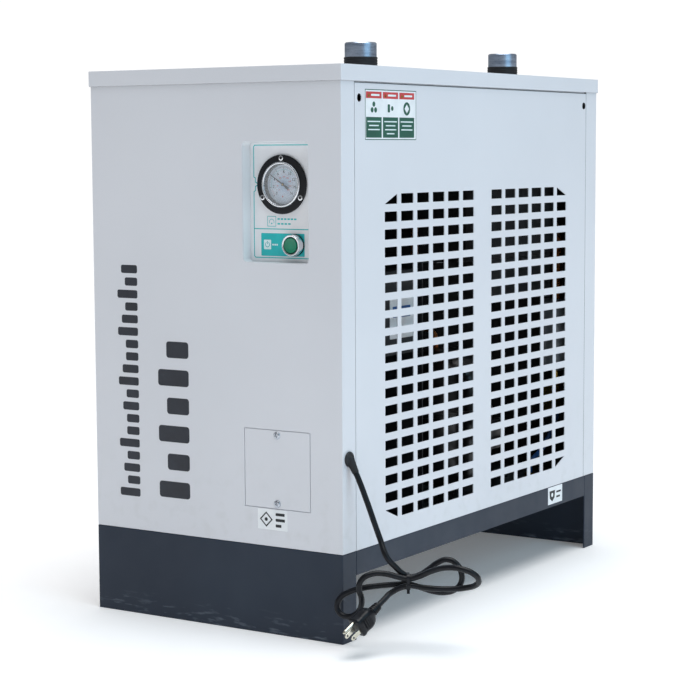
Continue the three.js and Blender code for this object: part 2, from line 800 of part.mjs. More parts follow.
function compressor() {
  const r = compressorRadius;
  const h = compressorHeight;
  const shell = upright(turned([
    [0, 0], [r - 22, 0], [r - 6, 8], [r, 26], [r, h * 0.48], [r + 2.5, h * 0.48], [r + 2.5, h * 0.52],
    [r, h * 0.52], [r, h - 42], [r - 10, h - 20], [r - 34, h - 3], [r - 44, h], [0, h],
  ], 28));
  const tabs = around(3, Math.PI, () => block(30, footCircle + 14, -16, 16, 0, tabThickness));
  const holes = around(3, Math.PI, () => (
    upright(cylinder(6, -1, tabThickness + 1, 12)).translate(footCircle, 0, 0)
  ));
  const body = cut(join(shell, ...tabs), ...holes).translate(compressorX, compressorY, compressorBottom);
  add('compressor', body, paint(0x0d0e10, 0.35));

  const foot = () => turned([
    [0, 0], [footRadius, 0], [footRadius - 3, footHeight * 0.5], [footRadius - 1, footHeight],
    [5.5, footHeight], [5.5, footHeight + tabThickness], [0, footHeight + tabThickness],
  ], 16);
  around(3, Math.PI, () => upright(foot()).translate(footCircle, 0, 0)).forEach((rubber, i) => {
    rubber.scale(1, 1, (footHeight - 2 * gap) / footHeight);
    rubber.translate(compressorX, compressorY, panTop + gap);
    add(`compressor_foot_${i + 1}`, rubber, paint(0x111213, 0.85));
  });

  const coverFace = compressorX + compressorRadius + 3;
  const coverZ = compressorBottom + 60;
  const terminal = block(coverFace, coverFace + 16, compressorY - 25, compressorY + 25, coverZ, coverZ + 44);
  add('compressor_terminal_cover', terminal, paint(0x1d1e20, 0.5));
}

// ---- Condenser and fan ----

const coilX0 = -right + coilFromLeft;
const coilX1 = coilX0 + coilThickness;
const coilY1 = rear - coilFromRear;
const coilY0 = coilY1 - coilLength;
const coilZ0 = panTop + coilAbovePan;
const coilZ1 = coilZ0 + coilHeight;
const fanY = (coilY0 + coilY1) / 2;
const fanZ = (coilZ0 + coilZ1) / 2;
const shroudFace = coilX0 - gap - shroudDepth;

function condenser() {
  const plateOut = 6;
  const endPlate = 3;
  const core = block(coilX0, coilX1, coilY0, coilY1, coilZ0, coilZ1);
  const ends = [coilY0 - endPlate, coilY1].map((y) => (
    block(coilX0, coilX1 + plateOut, y, y + endPlate, panTop + gap, coilZ1 + plateOut)
  ));
  add('condenser_coil', join(core, ...ends), paint(0x9da3a6, 0.45, 0.8));

  const outer = block(shroudFace, coilX0 - gap, coilY0, coilY1, coilZ0, coilZ1);
  const chamber = block(
    shroudFace + shroudSheet, coilX0, coilY0 + shroudSheet, coilY1 - shroudSheet,
    coilZ0 + shroudSheet, coilZ1 - shroudSheet,
  );
  const mouth = facingRight(cylinder(fanOpening, shroudFace - 1, shroudFace + shroudSheet + 1, 36));
  const box = cut(outer, chamber, mouth.translate(0, fanY, fanZ));
  const bar = block(
    shroudFace - barThickness, shroudFace + 0.5, fanY - barHalf, fanY + barHalf,
    coilZ0 + 2 * shroudSheet, coilZ1 - 2 * shroudSheet,
  );
  const barHole = facingRight(cylinder(6 + gap, shroudFace - barThickness - 1, shroudFace + 1, 16));
  add('fan_shroud', cut(join(box, bar), barHole.translate(0, fanY, fanZ)), paint(0x2a2d31, 0.6));
}

const fanMiddle = shroudFace + fanDepth / 2 + 3;
const barThickness = 3;
const barHalf = 13;

function fan() {
  const hub = cylinder(fanHub, -fanDepth / 2, fanDepth / 2, 24);
  const span = fanRadius - fanHub + bladeRoot;
  const tip = span - bladeTipRoom;
  const blades = [];
  for (let i = 0; i < fanBlades; i += 1) {
    const outline = new THREE.Shape([
      new THREE.Vector2(0, -16), new THREE.Vector2(span * 0.55, -27), new THREE.Vector2(tip, -23),
      new THREE.Vector2(tip, 20), new THREE.Vector2(span * 0.5, 21), new THREE.Vector2(0, 12),
    ]);
    const blade = new THREE.ExtrudeGeometry(outline, { depth: bladeSheet, bevelEnabled: false });
    blade.translate(0, 0, -bladeSheet / 2);
    blade.rotateX(Math.PI * 1.5 - THREE.MathUtils.degToRad(fanPitch));
    blade.translate(fanHub - bladeRoot, 0, 0);
    blade.rotateY((i * Math.PI * 2) / fanBlades);
    blades.push(blade);
  }
  const slab = cylinder(fanRadius, -fanDepth / 2, fanDepth / 2, 40);
  const wheel = toGeometry(toSolid(join(hub, ...blades)).intersect(toSolid(slab)));
  const rotor = facingRight(wheel).translate(fanMiddle, fanY, fanZ);
  add('fan_blades', rotor, paint(0x3a3d41, 0.45, 0.4));

  const motorFace = shroudFace - barThickness - gap;
  const shaftEnd = fanMiddle - fanDepth / 2 - gap;
  const motor = facingRight(turned([
    [0, motorFace - motorLength], [motorRadius - 10, motorFace - motorLength],
    [motorRadius, motorFace - motorLength + 10], [motorRadius, motorFace - 8], [motorRadius - 8, motorFace],
    [6, motorFace], [6, shaftEnd], [0, shaftEnd],
  ], 24)).translate(0, fanY, fanZ);
  add('fan_motor', motor, paint(0x202225, 0.5));
}

// ---- Refrigerant lines ----

const drierX = coilX0 + coilThickness / 2 + 60;
const drierY = coilY0 - 34;
const drierZ0 = panTop + 94;

function refrigerantLines() {
  const copperPaint = () => paint(0xb06a42, 0.35, 1);
  const suctionY = Math.min(exchangerY0, compressorY - compressorRadius) - 22;
  const suctionHigh = exchangerZ0 + 60;
  const suctionLow = compressorBottom + compressorHeight * 0.68;
  const suction = pipePath([
    [compressorX, exchangerY0 - gap, suctionHigh], [compressorX, suctionY, suctionHigh],
    [compressorX, suctionY, suctionLow], [compressorX, compressorY - compressorRadius - 3, suctionLow],
  ], 10);
  add('suction_line', tube(suction, copper, 28), copperPaint());

  const dischargeX = compressorX - 18;
  const dischargeZ = compressorTop + 30;
  const discharge = pipePath([
    [dischargeX, compressorY, compressorTop + gap], [dischargeX, compressorY, dischargeZ],
    [coilX1 + gap, compressorY, dischargeZ],
  ], 18);
  add('discharge_line', tube(discharge, copper - 1, 16), copperPaint());

  const liquidZ = drierZ0 - 30;
  const liquidX = (coilX0 + coilX1) / 2;
  const liquid = pipePath([
    [liquidX, coilY0 - 3 - gap, liquidZ], [liquidX, drierY, liquidZ], [drierX, drierY, liquidZ],
    [drierX, drierY, drierZ0 - gap],
  ], 12);
  add('liquid_line', tube(liquid, copper - 2, 18), copperPaint());

  const r = drierRadius;
  const drier = upright(turned([
    [0, 0], [4.5, 0], [4.5, 8], [r, 20], [r, drierLength - 20], [4.5, drierLength - 8], [4.5, drierLength],
    [0, drierLength],
  ], 16));
  drier.translate(drierX, drierY, drierZ0);

  const capillaryStart = drierZ0 + drierLength - 1;
  const capillary = softPath([
    [drierX, drierY, capillaryStart], [drierX, drierY, capillaryStart + 60],
    [drierX + 12, drierY + 4, exchangerZ0 + 10], [exchangerX0 + 26, exchangerY0 - 40, exchangerZ0 + 70],
    [exchangerX0 + 26, exchangerY0 - 12, exchangerZ0 + 80],
    [exchangerX0 + 26, exchangerY0 - gap, exchangerZ0 + 80],
  ]);
  add('filter_drier', join(drier, tube(capillary, 2.5, 14)), copperPaint());
}

// ---- Water separator, drain and electrical box ----

const separatorX = right - separatorFromRight;
const separatorY = rear - separatorFromRear;
const separatorZ0 = panTop + separatorShare * (exchangerZ0 - panTop);
const separatorZ1 = separatorZ0 + separatorHeight;

function separatorAndDrain() {
  const r = separatorRadius;
  const h = separatorHeight;
  const bowl = upright(turned([
    [0, 0], [r - 12, 0], [r - 3, 5], [r, 16], [r, h - 34], [r + 3, h - 30], [r + 3, h - 4], [r - 4, h],
    [0, h],
  ], 24)).translate(separatorX, separatorY, separatorZ0);
  add('water_separator', bowl, paint(0xb8bcc0, 0.4, 0.3));

  const crossX = exchangerX1 - 14;
  const crossZ = exchangerZ0 + 50;
  const crossing = softPath([
    [crossX, exchangerY1 + gap, crossZ], [crossX, exchangerY1 + 14, crossZ],
    [(crossX + separatorX) / 2, separatorY, crossZ - 20], [separatorX, separatorY, crossZ - 55],
    [separatorX, separatorY, separatorZ1 + 14], [separatorX, separatorY, separatorZ1 + gap],
  ]);
  add('separator_pipe', tube(crossing, 9, 12, 10), paint(0x8f9397, 0.4, 1));

  const drainHeight = 66;
  const drainTop = separatorZ0 - gap;
  const drainBottom = drainTop - drainHeight;
  const trap = block(
    separatorX - 17, separatorX + 17, separatorY - 20, separatorY + 20, drainBottom, drainTop - 16,
  );
  const neck = upright(cylinder(9, drainTop - 17, drainTop, 16)).translate(separatorX, separatorY, 0);
  add('auto_drain', join(trap, neck), paint(0x1c1e21, 0.5));

  const outletTop = panTop + 16;
  const hose = softPath([
    [separatorX, separatorY, drainBottom - gap], [separatorX, separatorY, drainBottom - 14],
    [(separatorX + drainX) / 2, (separatorY + drainY) / 2, outletTop + 36],
    [drainX, drainY, outletTop + 14], [drainX, drainY, outletTop + gap],
  ]);
  add('drain_hose', tube(hose, 4, 14), paint(0x2b5f9e, 0.4));
  const outletBottom = baseHeight - 26;
  const outlet = upright(turned([
    [0, outletBottom], [5, outletBottom], [drainBarrel, outletBottom + 8], [drainBarrel, outletTop],
    [0, outletTop],
  ], 20)).translate(drainX, drainY, 0);
  add('drain_outlet', outlet, paint(0xb08d3e, 0.35, 1));
}

const boxWidth = 130;
const boxDepth = 100;
const boxHeight = 120;
const boxFromRight = 24;
const boxFromFront = 144;
const boxBelowPipe = 130;       // top of the box below the inlet pipe's level run
const boxPlate = 3;
const boxPlateMargin = 20;      // the mounting plate beyond the box at its left and top
const boxPlateRight = 6;

function electricalBox() {
  const x1 = right - boxFromRight;
  const x0 = x1 - boxWidth;
  const y0 = front + boxFromFront;
  const y1 = y0 + boxDepth;
  const z1 = inletHeight - boxBelowPipe;
  const z0 = z1 - boxHeight;
  const plate = block(
    x0 - boxPlateMargin, x1 + boxPlateRight, y1 - 1, y1 - 1 + boxPlate, panTop + gap, z1 + boxPlateMargin,
  );
  add('electrical_box', join(block(x0, x1, y0, y1, z0, z1), plate), paint(0x2c3036, 0.6));
}

// ---- Gland ----

const glandY = front + glandFromFront;
const glandZ = baseHeight + glandAboveBase;
const glandShank = 8;
const glandShankLength = 8;
const glandKnuckle = 2;         // centre of the sleeve's ball, outside the panel
const droop = THREE.MathUtils.degToRad(glandDroop);

// The point on the sleeve's axis that lies this far from its ball.
function alongSleeve(distance) {
  return [right + glandKnuckle + distance * Math.cos(droop), glandY, glandZ - distance * Math.sin(droop)];
}

function cableGland() {
  const body = facingRight(turned([
    [0, -glandShankLength], [glandShank, -glandShankLength], [glandShank, gap], [glandFlange, gap],
    [glandFlange, 2.2], [glandFlange - 1.5, 3.4], [0, 3.4],
  ], 20));
  const ball = new THREE.SphereGeometry(7.6, 14, 8).translate(glandKnuckle, 0, 0);
  const sleeve = facingRight(turned([[0, 0], [7.4, 0], [5, glandSleeve], [0, glandSleeve]], 14));
  sleeve.rotateY(droop).translate(glandKnuckle, 0, 0);
  const gland = join(body, cutInside(join(ball, sleeve))).translate(right, glandY, glandZ);
  add('cable_gland', gland, paint(0x101113, 0.5));
}

// Keeps only what stands outside the panel.
function cutInside(geometry) {
  return cut(geometry, block(-20, gap, -20, 20, -20, 20));
}

// ---- Mains lead ----
// The lead drops from the gland to a hank of loops that a tie holds at its middle. The hank hangs
// in an upright plane of its own: X along its loops, Y through its thickness, Z up.

const bundle = new THREE.Group();
const bundleTurn = 32.4;
bundle.position.set(right + 86, front + 16, 0);
bundle.rotation.z = THREE.MathUtils.degToRad(bundleTurn);
dryer.add(bundle);

function fromBundle(point) {
  bundle.updateMatrixWorld();
  return bundle.localToWorld(new THREE.Vector3(...point)).toArray();
}

const tieMiddle = 6;
const tieWidth = 4;
const tieWall = 1.4;
const neckDepth = 13.3;         // half of the hank's thickness inside the tie
const neckHeight = 9.6;         // half of its height there
const neckZ = 94;
const lobeReach = 60;           // the lobes stay within this distance of the neck's middle

function mainsLead() {
  const cordPaint = () => paint(0x101216, 0.5);
  const lead = softPath([
    alongSleeve(glandSleeve + gap), alongSleeve(glandSleeve + 8),
    [right + 29.5, glandY, glandZ - 56.5], [right + 38.6, glandY, glandZ - 78.4],
    [right + 49, glandY, glandZ - 104],
    fromBundle([-13, 7, 121.5]), fromBundle([-4, 8.8, 109]),
  ]);
  add('cord_lead', tube(lead, cordRadius, 10, 10), cordPaint());

  const rightLobe = new THREE.Shape();
  rightLobe.moveTo(14, 104);
  rightLobe.splineThru([
    [24, 110], [43, 126], [58, 130.5], [74, 124], [91, 117], [101, 102], [91, 86], [67, 76.5], [45, 75],
    [24, 78], [14, 83],
  ].map(([a, z]) => new THREE.Vector2(a, z)));
  const leftLobe = new THREE.Shape();
  leftLobe.moveTo(-2, 103);
  leftLobe.splineThru([
    [-2, 89], [-14, 86], [-38, 80.5], [-45, 66], [-45, 53], [-58, 41], [-78, 42], [-92, 56], [-88, 72],
    [-71, 86], [-68, 98], [-58, 108], [-40, 112], [-20, 109],
  ].map(([a, z]) => new THREE.Vector2(a, z)));
  const neck = block(-3, 17, -neckDepth, neckDepth, neckZ - neckHeight, neckZ + neckHeight);
  const hank = join(neck, frontPrism(rightLobe, -50, 13, 3), frontPrism(leftLobe, -6.5, 28.5, 3));
  add('cord_hank', cut(hank, tieCut()), cordPaint(), bundle);

  const tail = softPath([[-8, 0, 82.3], behindPlug(14), behindPlug(6), behindPlug(gap)]);
  add('cord_tail', tube(tail, cordRadius, 4, 10), cordPaint(), bundle);
}

// A slab across the tie's place, with a hole that leaves the neck whole.
function tieSlab(halfWidth, clearance, outerDepth, outerHeight) {
  const innerDepth = neckDepth + clearance;
  const innerHeight = neckHeight + clearance;
  const slab = block(
    tieMiddle - halfWidth, tieMiddle + halfWidth, -outerDepth, outerDepth,
    neckZ - outerHeight, neckZ + outerHeight,
  );
  const hole = block(
    tieMiddle - tieWidth, tieMiddle + tieWidth, -innerDepth, innerDepth,
    neckZ - innerHeight, neckZ + innerHeight,
  );
  return cut(slab, hole);
}

// Room for the tie in the lobes of the hank.
function tieCut() {
  return tieSlab(tieWidth / 2 + gap, 0, lobeReach, lobeReach);
}

function cordTie() {
  const band = tieSlab(tieWidth / 2, gap, neckDepth + gap + tieWall, neckHeight + gap + tieWall);
  add('cord_tie', band, paint(0x0b0c0d, 0.6), bundle);
}

// ---- Plug ----
// Its own Z runs out of its face, X across its blades and Y away from its ground pin.

const plugFace = [-64, -38, 41];
const plugAxis = new THREE.Vector3(-0.65, -0.54, -0.54).normalize();
const bladeAxis = new THREE.Vector3(-0.65, 0.752, 0.03).normalize();
const plugBody = 32;
const plugRelief = 14;
const bladeSpacing = 12.7;
const bladeWidth = 6.3;
const bladeThickness = 1.5;
const bladeLength = 17.5;
const groundPinLength = 21;
const groundPinOffset = 11.9;   // from the blades' line to the ground pin
const pinLift = 3;              // the blades' line from the plug's middle
const bladeEye = 1.6;
const bladeEyeInset = 4;

// The point on the plug's axis that lies this far behind its strain relief.
function behindPlug(distance) {
  const back = plugAxis.clone().multiplyScalar(-(plugBody + plugRelief + distance));
  return back.add(new THREE.Vector3(...plugFace)).toArray();
}

function plug() {
  const group = new THREE.Group();
  const acrossPins = new THREE.Vector3().crossVectors(plugAxis, bladeAxis);
  const basis = new THREE.Matrix4().makeBasis(bladeAxis, acrossPins, plugAxis);
  group.position.set(...plugFace);
  group.quaternion.setFromRotationMatrix(basis);
  bundle.add(group);

  const body = upright(turned([
    [0, -plugBody - plugRelief], [5, -plugBody - plugRelief], [7, -plugBody], [11, -plugBody + 3],
    [14, -plugBody + 9], [13.5, -4], [12.5, 0], [0, 0],
  ], 24));
  body.scale(0.8, 0.95, 1);
  add('plug_body', body, paint(0x1b1e24, 0.5), group);
  [-1, 1].forEach((side) => {
    const x = (side * bladeSpacing) / 2;
    const blade = block(
      x - bladeThickness / 2, x + bladeThickness / 2, pinLift - bladeWidth / 2, pinLift + bladeWidth / 2,
      gap, bladeLength,
    );
    const eye = facingRight(cylinder(bladeEye, x - 2, x + 2, 12));
    eye.translate(0, pinLift, bladeLength - bladeEyeInset);
    const name = side < 0 ? 'plug_blade_front' : 'plug_blade_back';
    add(name, cut(blade, eye), paint(0xd6d2c4, 0.25, 1), group);
  });
  const pin = upright(turned([
    [0, gap], [2.4, gap], [2.4, groundPinLength - 3], [1.2, groundPinLength], [0, groundPinLength],
  ], 16)).translate(0, pinLift - groundPinOffset, 0);
  add('plug_ground_pin', pin, paint(0xd6d2c4, 0.25, 1), group);
}

// ---- Assembly ----

baseChannel('base_front_channel', -1);
baseChannel('base_rear_channel', 1);
baseRail('base_rail_right', 1);
baseRail('base_rail_left', -1);
floorPan();
frontPanel();
rearPanel();
sidePanel('right_side_panel', 1, [...halfColumns(-1).reverse(), ...halfColumns(1)]);
sidePanel('left_side_panel', -1, halfColumns(1));
topLid();
controlTray();
controlOverlay();
gaugePieces();
pushButton();
accessCover();
airPort('inlet', inletY);
airPort('outlet', outletY);
heatExchanger();
compressor();
condenser();
fan();
refrigerantLines();
separatorAndDrain();
electricalBox();
cableGland();
mainsLead();
cordTie();
plug();

export default dryer;
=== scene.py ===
"""Looks of the refrigerated air dryer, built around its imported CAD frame. All lengths are in metres."""

import math

import bmesh
import bpy
from mathutils import Matrix, Vector


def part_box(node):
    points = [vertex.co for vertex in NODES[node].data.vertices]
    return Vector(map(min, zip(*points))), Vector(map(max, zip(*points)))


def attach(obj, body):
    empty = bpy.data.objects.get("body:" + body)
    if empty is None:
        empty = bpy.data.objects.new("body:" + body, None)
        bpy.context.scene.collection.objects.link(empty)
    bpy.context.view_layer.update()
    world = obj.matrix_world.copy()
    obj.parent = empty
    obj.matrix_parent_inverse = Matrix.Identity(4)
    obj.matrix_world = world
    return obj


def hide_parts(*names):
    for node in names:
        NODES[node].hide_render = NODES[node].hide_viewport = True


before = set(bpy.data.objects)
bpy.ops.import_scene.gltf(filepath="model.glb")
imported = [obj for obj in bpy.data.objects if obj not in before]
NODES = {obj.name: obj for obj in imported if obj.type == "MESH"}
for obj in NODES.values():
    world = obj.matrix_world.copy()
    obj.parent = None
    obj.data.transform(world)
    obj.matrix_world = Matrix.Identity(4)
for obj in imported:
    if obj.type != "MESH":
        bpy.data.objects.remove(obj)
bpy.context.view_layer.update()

CABINET = "cabinet"
FILM = 0.00012                  # thickness of a printed film or label
LIFT = 0.00006                  # one printed layer above the one below it


# ---- Places from the frame ----

def low(node):
    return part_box(node)[0]


def high(node):
    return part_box(node)[1]


def middle(node):
    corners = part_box(node)
    return (corners[0] + corners[1]) / 2


FRONT = low("front_panel").y
RIGHT = high("right_side_panel").x
LID_TOP = high("top_lid").z
BASE_TOP = high("base_front_channel").z


# ---- Camera ----

CAMERA_PLACE = (1.61265, -2.57674, 0.67201)
CAMERA_LENS = 99.93              # millimetres
CAMERA_SENSOR = 36               # millimetres
CAMERA_YAW = math.radians(32.416)
CAMERA_PITCH = math.radians(90 - 5.899)
CAMERA_ROLL = math.radians(-0.266)


def make_camera():
    data = bpy.data.cameras.new("studio_camera")
    data.lens = CAMERA_LENS
    data.sensor_width = CAMERA_SENSOR
    data.clip_start = 0.1
    data.clip_end = 50
    camera = bpy.data.objects.new("studio_camera", data)
    bpy.context.scene.collection.objects.link(camera)
    heading = Matrix.Rotation(CAMERA_YAW, 4, "Z") @ Matrix.Rotation(CAMERA_PITCH, 4, "X")
    turn = heading @ Matrix.Rotation(CAMERA_ROLL, 4, "Z")
    camera.matrix_world = Matrix.Translation(CAMERA_PLACE) @ turn
    bpy.context.scene.camera = camera


make_camera()


# ---- Objects and meshes ----

def put(name, data, material=None, body=CABINET, slot=None, replaces=()):
    """A new piece of the object, riding on its body."""
    piece = bpy.data.objects.new(name, data)
    bpy.context.scene.collection.objects.link(piece)
    if material is not None:
        data.materials.clear()
        data.materials.append(material)
    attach(piece, body)
    if replaces:
        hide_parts(*replaces)
    return piece


def mesh_from(bm, name, smooth_angle=None):
    """The bmesh as a mesh, with smooth faces wherever they meet at less than smooth_angle."""
    bmesh.ops.remove_doubles(bm, verts=bm.verts, dist=1e-7)
    bmesh.ops.recalc_face_normals(bm, faces=bm.faces)
    if smooth_angle is not None:
        limit = math.radians(smooth_angle)
        for face in bm.faces:
            face.smooth = True
        for edge in bm.edges:
            edge.smooth = len(edge.link_faces) == 2 and edge.calc_face_angle(math.pi) < limit
    mesh = bpy.data.meshes.new(name)
    bm.to_mesh(mesh)
    bm.free()
    return mesh


def facing_front(place):
    """Local Z points out of the front, local X to the right."""
    return Matrix.Translation(place) @ Matrix.Rotation(math.radians(90), 4, "X")


def facing_right(place):
    """Local Z points out of the right side, local X to the rear."""
    return Matrix.Translation(place) @ Matrix(((0, 0, 1, 0), (1, 0, 0, 0), (0, 1, 0, 0), (0, 0, 0, 1)))


def upright(place):
    return Matrix.Translation(place)


def rounded(profile, radius, steps=4):
    """The same outline with its inner corners rounded."""
    points = [Vector(p) for p in profile]
    out = [points[0]]
    for before, corner, after in zip(points, points[1:], points[2:]):
        near = min(radius, 0.45 * (before - corner).length, 0.45 * (after - corner).length)
        start = corner + (before - corner).normalized() * near
        end = corner + (after - corner).normalized() * near
        for i in range(steps + 1):
            t = i / steps
            out.append(start * (1 - t) ** 2 + corner * 2 * t * (1 - t) + end * t * t)
    out.append(points[-1])
    return out


def add_turned(bm, profile, segments=64, place=None):
    """A closed turned solid: the profile is (radius, height) and ends on the axis or where it began."""
    rings = []
    for radius, z in profile:
        if radius < 1e-7:
            rings.append([bm.verts.new((0, 0, z))])
            continue
        turns = [2 * math.pi * i / segments for i in range(segments)]
        rings.append([bm.verts.new((radius * math.cos(t), radius * math.sin(t), z)) for t in turns])
    made = []
    for lower, upper in zip(rings, rings[1:]):
        for i in range(segments):
            j = (i + 1) % segments
            corners = [lower[i % len(lower)], lower[j % len(lower)]]
            corners += [upper[j % len(upper)], upper[i % len(upper)]]
            unique = list(dict.fromkeys(corners))
            if len(unique) > 2:
                made.append(bm.faces.new(unique))
    verts = [v for ring in rings for v in ring]
    if place is not None:
        bmesh.ops.transform(bm, matrix=place, verts=verts)
    return verts


def turned(name, profile, place, material, radius=0.0004, segments=96, **options):
    bm = bmesh.new()
    add_turned(bm, rounded(profile, radius), segments)
    mesh = mesh_from(bm, name, 40)
    mesh.transform(place)
    return put(name, mesh, material, **options)


def add_plate(bm, x0, x1, y0, y1, z0, z1, corner=0.0, place=None):
    """A flat plate with rounded corners in its own X-Y plane."""
    outline = []
    steps = 6 if corner > 0 else 0
    for cx, cy, start in ((x1, y1, 0), (x0, y1, 90), (x0, y0, 180), (x1, y0, 270)):
        px = cx - corner if cx == x1 else cx + corner
        py = cy - corner if cy == y1 else cy + corner
        for i in range(steps + 1):
            angle = math.radians(start + 90 * i / max(steps, 1))
            outline.append((px + corner * math.cos(angle), py + corner * math.sin(angle)))
    return add_prism(bm, outline, z0, z1, place)


def add_prism(bm, outline, z0, z1, place=None):
    """A flat outline raised from z0 to z1."""
    lower = [bm.verts.new((x, y, z0)) for x, y in outline]
    upper = [bm.verts.new((x, y, z1)) for x, y in outline]
    bm.faces.new(lower)
    bm.faces.new(upper)
    for i in range(len(outline)):
        j = (i + 1) % len(outline)
        bm.faces.new((lower[i], lower[j], upper[j], upper[i]))
    if place is not None:
        bmesh.ops.transform(bm, matrix=place, verts=lower + upper)
    return lower + upper


def circle(radius, segments=32, x=0.0, y=0.0, stretch=1.0):
    turns = [2 * math.pi * i / segments for i in range(segments)]
    return [(x + radius * math.cos(t), y + stretch * radius * math.sin(t)) for t in turns]


def add_band(bm, path, width, z0, z1, place=None):
    """A flat stripe of one width along an open path of (x, y) points, with square joints."""
    points = [Vector(p) for p in path]
    left, right = [], []
    for i, point in enumerate(points):
        ahead = (points[min(i + 1, len(points) - 1)] - point)
        behind = (point - points[max(i - 1, 0)])
        along = (ahead.normalized() + behind.normalized()).normalized()
        side = Vector((-along.y, along.x))
        turn = ahead.normalized() if ahead.length > 0 else behind.normalized()
        reach = width / 2 / max(0.3, abs(side.dot(Vector((-turn.y, turn.x)))))
        left.append(point + side * reach)
        right.append(point - side * reach)
    for i in range(len(points) - 1):
        add_prism(bm, [right[i], right[i + 1], left[i + 1], left[i]], z0, z1, place)


def sweep(points, sections):
    """Rings of vertices round a path: sections gives the outline to use at each point."""
    up = Vector((0.13, 0.31, 0.94)).normalized()
    rings = []
    for i, point in enumerate(points):
        along = (points[min(i + 1, len(points) - 1)] - points[max(i - 1, 0)]).normalized()
        side = along.cross(up).normalized()
        up = side.cross(along).normalized()
        rings.append([point + side * x + up * y for x, y in sections[i]])
    return rings


def add_rings(bm, rings):
    """A closed skin over rings of the same number of points."""
    made = [[bm.verts.new(p) for p in ring] for ring in rings]
    count = len(made[0])
    for lower, upper in zip(made, made[1:]):
        for i in range(count):
            j = (i + 1) % count
            bm.faces.new((lower[i], lower[j], upper[j], upper[i]))
    bm.faces.new(made[0])
    bm.faces.new(made[-1])


def smooth_curve(points, steps=8):
    """A smooth line through the points: a centripetal Catmull-Rom curve."""
    line = [Vector(p) for p in points]
    line = [line[0] * 2 - line[1]] + line + [line[-1] * 2 - line[-2]]
    out = []
    for a, b, c, d in zip(line, line[1:], line[2:], line[3:]):
        t1 = math.sqrt((b - a).length)
        t2 = t1 + math.sqrt((c - b).length)
        t3 = t2 + math.sqrt((d - c).length)
        for k in range(steps):
            t = t1 + (t2 - t1) * k / steps
            ab = a.lerp(b, t / t1)
            bc = b.lerp(c, (t - t1) / (t2 - t1))
            cd = c.lerp(d, (t - t2) / (t3 - t2))
            early = ab.lerp(bc, t / t2)
            late = bc.lerp(cd, (t - t1) / (t3 - t1))
            out.append(early.lerp(late, (t - t1) / (t2 - t1)))
    out.append(line[-2])
    return out


def applied(piece):
    """The piece's mesh with its modifiers applied, and the modifiers gone."""
    bpy.context.view_layer.update()
    seen = piece.evaluated_get(bpy.context.evaluated_depsgraph_get())
    mesh = bpy.data.meshes.new_from_object(seen)
    piece.modifiers.clear()
    piece.data = mesh
    return piece


# ---- Material nodes ----

def tint(code):
    """A colour written as six hexadecimal digits, in the linear values that shaders take."""
    parts = [int(code[i:i + 2], 16) / 255 for i in (0, 2, 4)]
    return tuple(c / 12.92 if c <= 0.04045 else ((c + 0.055) / 1.055) ** 2.4 for c in parts) + (1.0,)


def link(material, source, target):
    material.node_tree.links.new(source, target)


def node(material, kind, **values):
    made = material.node_tree.nodes.new(kind)
    for key, value in values.items():
        if key in made.inputs:
            made.inputs[key].default_value = value
        else:
            setattr(made, key, value)
    return made


def shader_of(material):
    return material.node_tree.nodes["Principled BSDF"]


def object_place(material):
    return node(material, "ShaderNodeTexCoord").outputs["Object"]


def noise(material, scale, detail=3.0, stretch=None):
    """A noise over the piece, scale in features per metre, squeezed along the axes by stretch."""
    made = node(material, "ShaderNodeTexNoise", Scale=scale, Detail=detail)
    place = object_place(material)
    if stretch is not None:
        mapping = node(material, "ShaderNodeMapping", Scale=stretch)
        link(material, place, mapping.inputs["Vector"])
        place = mapping.outputs["Vector"]
    link(material, place, made.inputs["Vector"])
    return made.outputs["Fac"]


def ramp(material, factor, stops):
    """A colour for each place on a ramp: stops are (position, colour)."""
    made = node(material, "ShaderNodeValToRGB")
    elements = made.color_ramp.elements
    while len(elements) < len(stops):
        elements.new(0.5)
    for element, (position, colour) in zip(elements, stops):
        element.position = position
        element.color = colour
    link(material, factor, made.inputs["Fac"])
    return made.outputs["Color"]


def blend_colours(material, factor, first, second):
    mix = node(material, "ShaderNodeMix", data_type="RGBA")
    link(material, factor, mix.inputs[0])
    for socket, value in ((mix.inputs[6], first), (mix.inputs[7], second)):
        if isinstance(value, tuple):
            socket.default_value = value
        else:
            link(material, value, socket)
    return mix.outputs[2]


def between(material, value, from_low, from_high, to_low, to_high):
    made = node(material, "ShaderNodeMapRange")
    for index, number in enumerate((from_low, from_high, to_low, to_high), start=1):
        made.inputs[index].default_value = number
    link(material, value, made.inputs["Value"])
    return made.outputs["Result"]


def axis_of(material, axis):
    split = node(material, "ShaderNodeSeparateXYZ")
    link(material, object_place(material), split.inputs["Vector"])
    return split.outputs[axis]


def bumps(material, heights):
    """Adds up bumps: each is (height output, strength, distance in metres)."""
    normal = None
    for height, strength, distance in heights:
        made = node(material, "ShaderNodeBump", Strength=strength, Distance=distance)
        link(material, height, made.inputs["Height"])
        if normal is not None:
            link(material, normal, made.inputs["Normal"])
        normal = made.outputs["Normal"]
    link(material, normal, shader_of(material).inputs["Normal"])


def surface(name, dark, light, roughness, metallic=0.0, patches=9, grain=700, grain_height=0.00002,
            grain_strength=0.25, spread=0.05, stretch=None, sockets=None):
    """A finish whose colour drifts between two close tints, with uneven gloss and a fine grain."""
    material = bpy.data.materials.new(name)
    material.use_nodes = True
    shader = shader_of(material)
    shader.inputs["Metallic"].default_value = metallic
    for socket, value in (sockets or {}).items():
        shader.inputs[socket].default_value = value
    drift = noise(material, patches, 4.0, stretch)
    colour = ramp(material, drift, [(0.3, tint(dark)), (0.7, tint(light))])
    link(material, colour, shader.inputs["Base Color"])
    smears = noise(material, patches * 7, 5.0, stretch)
    gloss = between(material, smears, 0.3, 0.7, roughness - spread, roughness + spread)
    link(material, gloss, shader.inputs["Roughness"])
    bumps(material, [(noise(material, grain, 2.0, stretch), grain_strength, grain_height)])
    return material


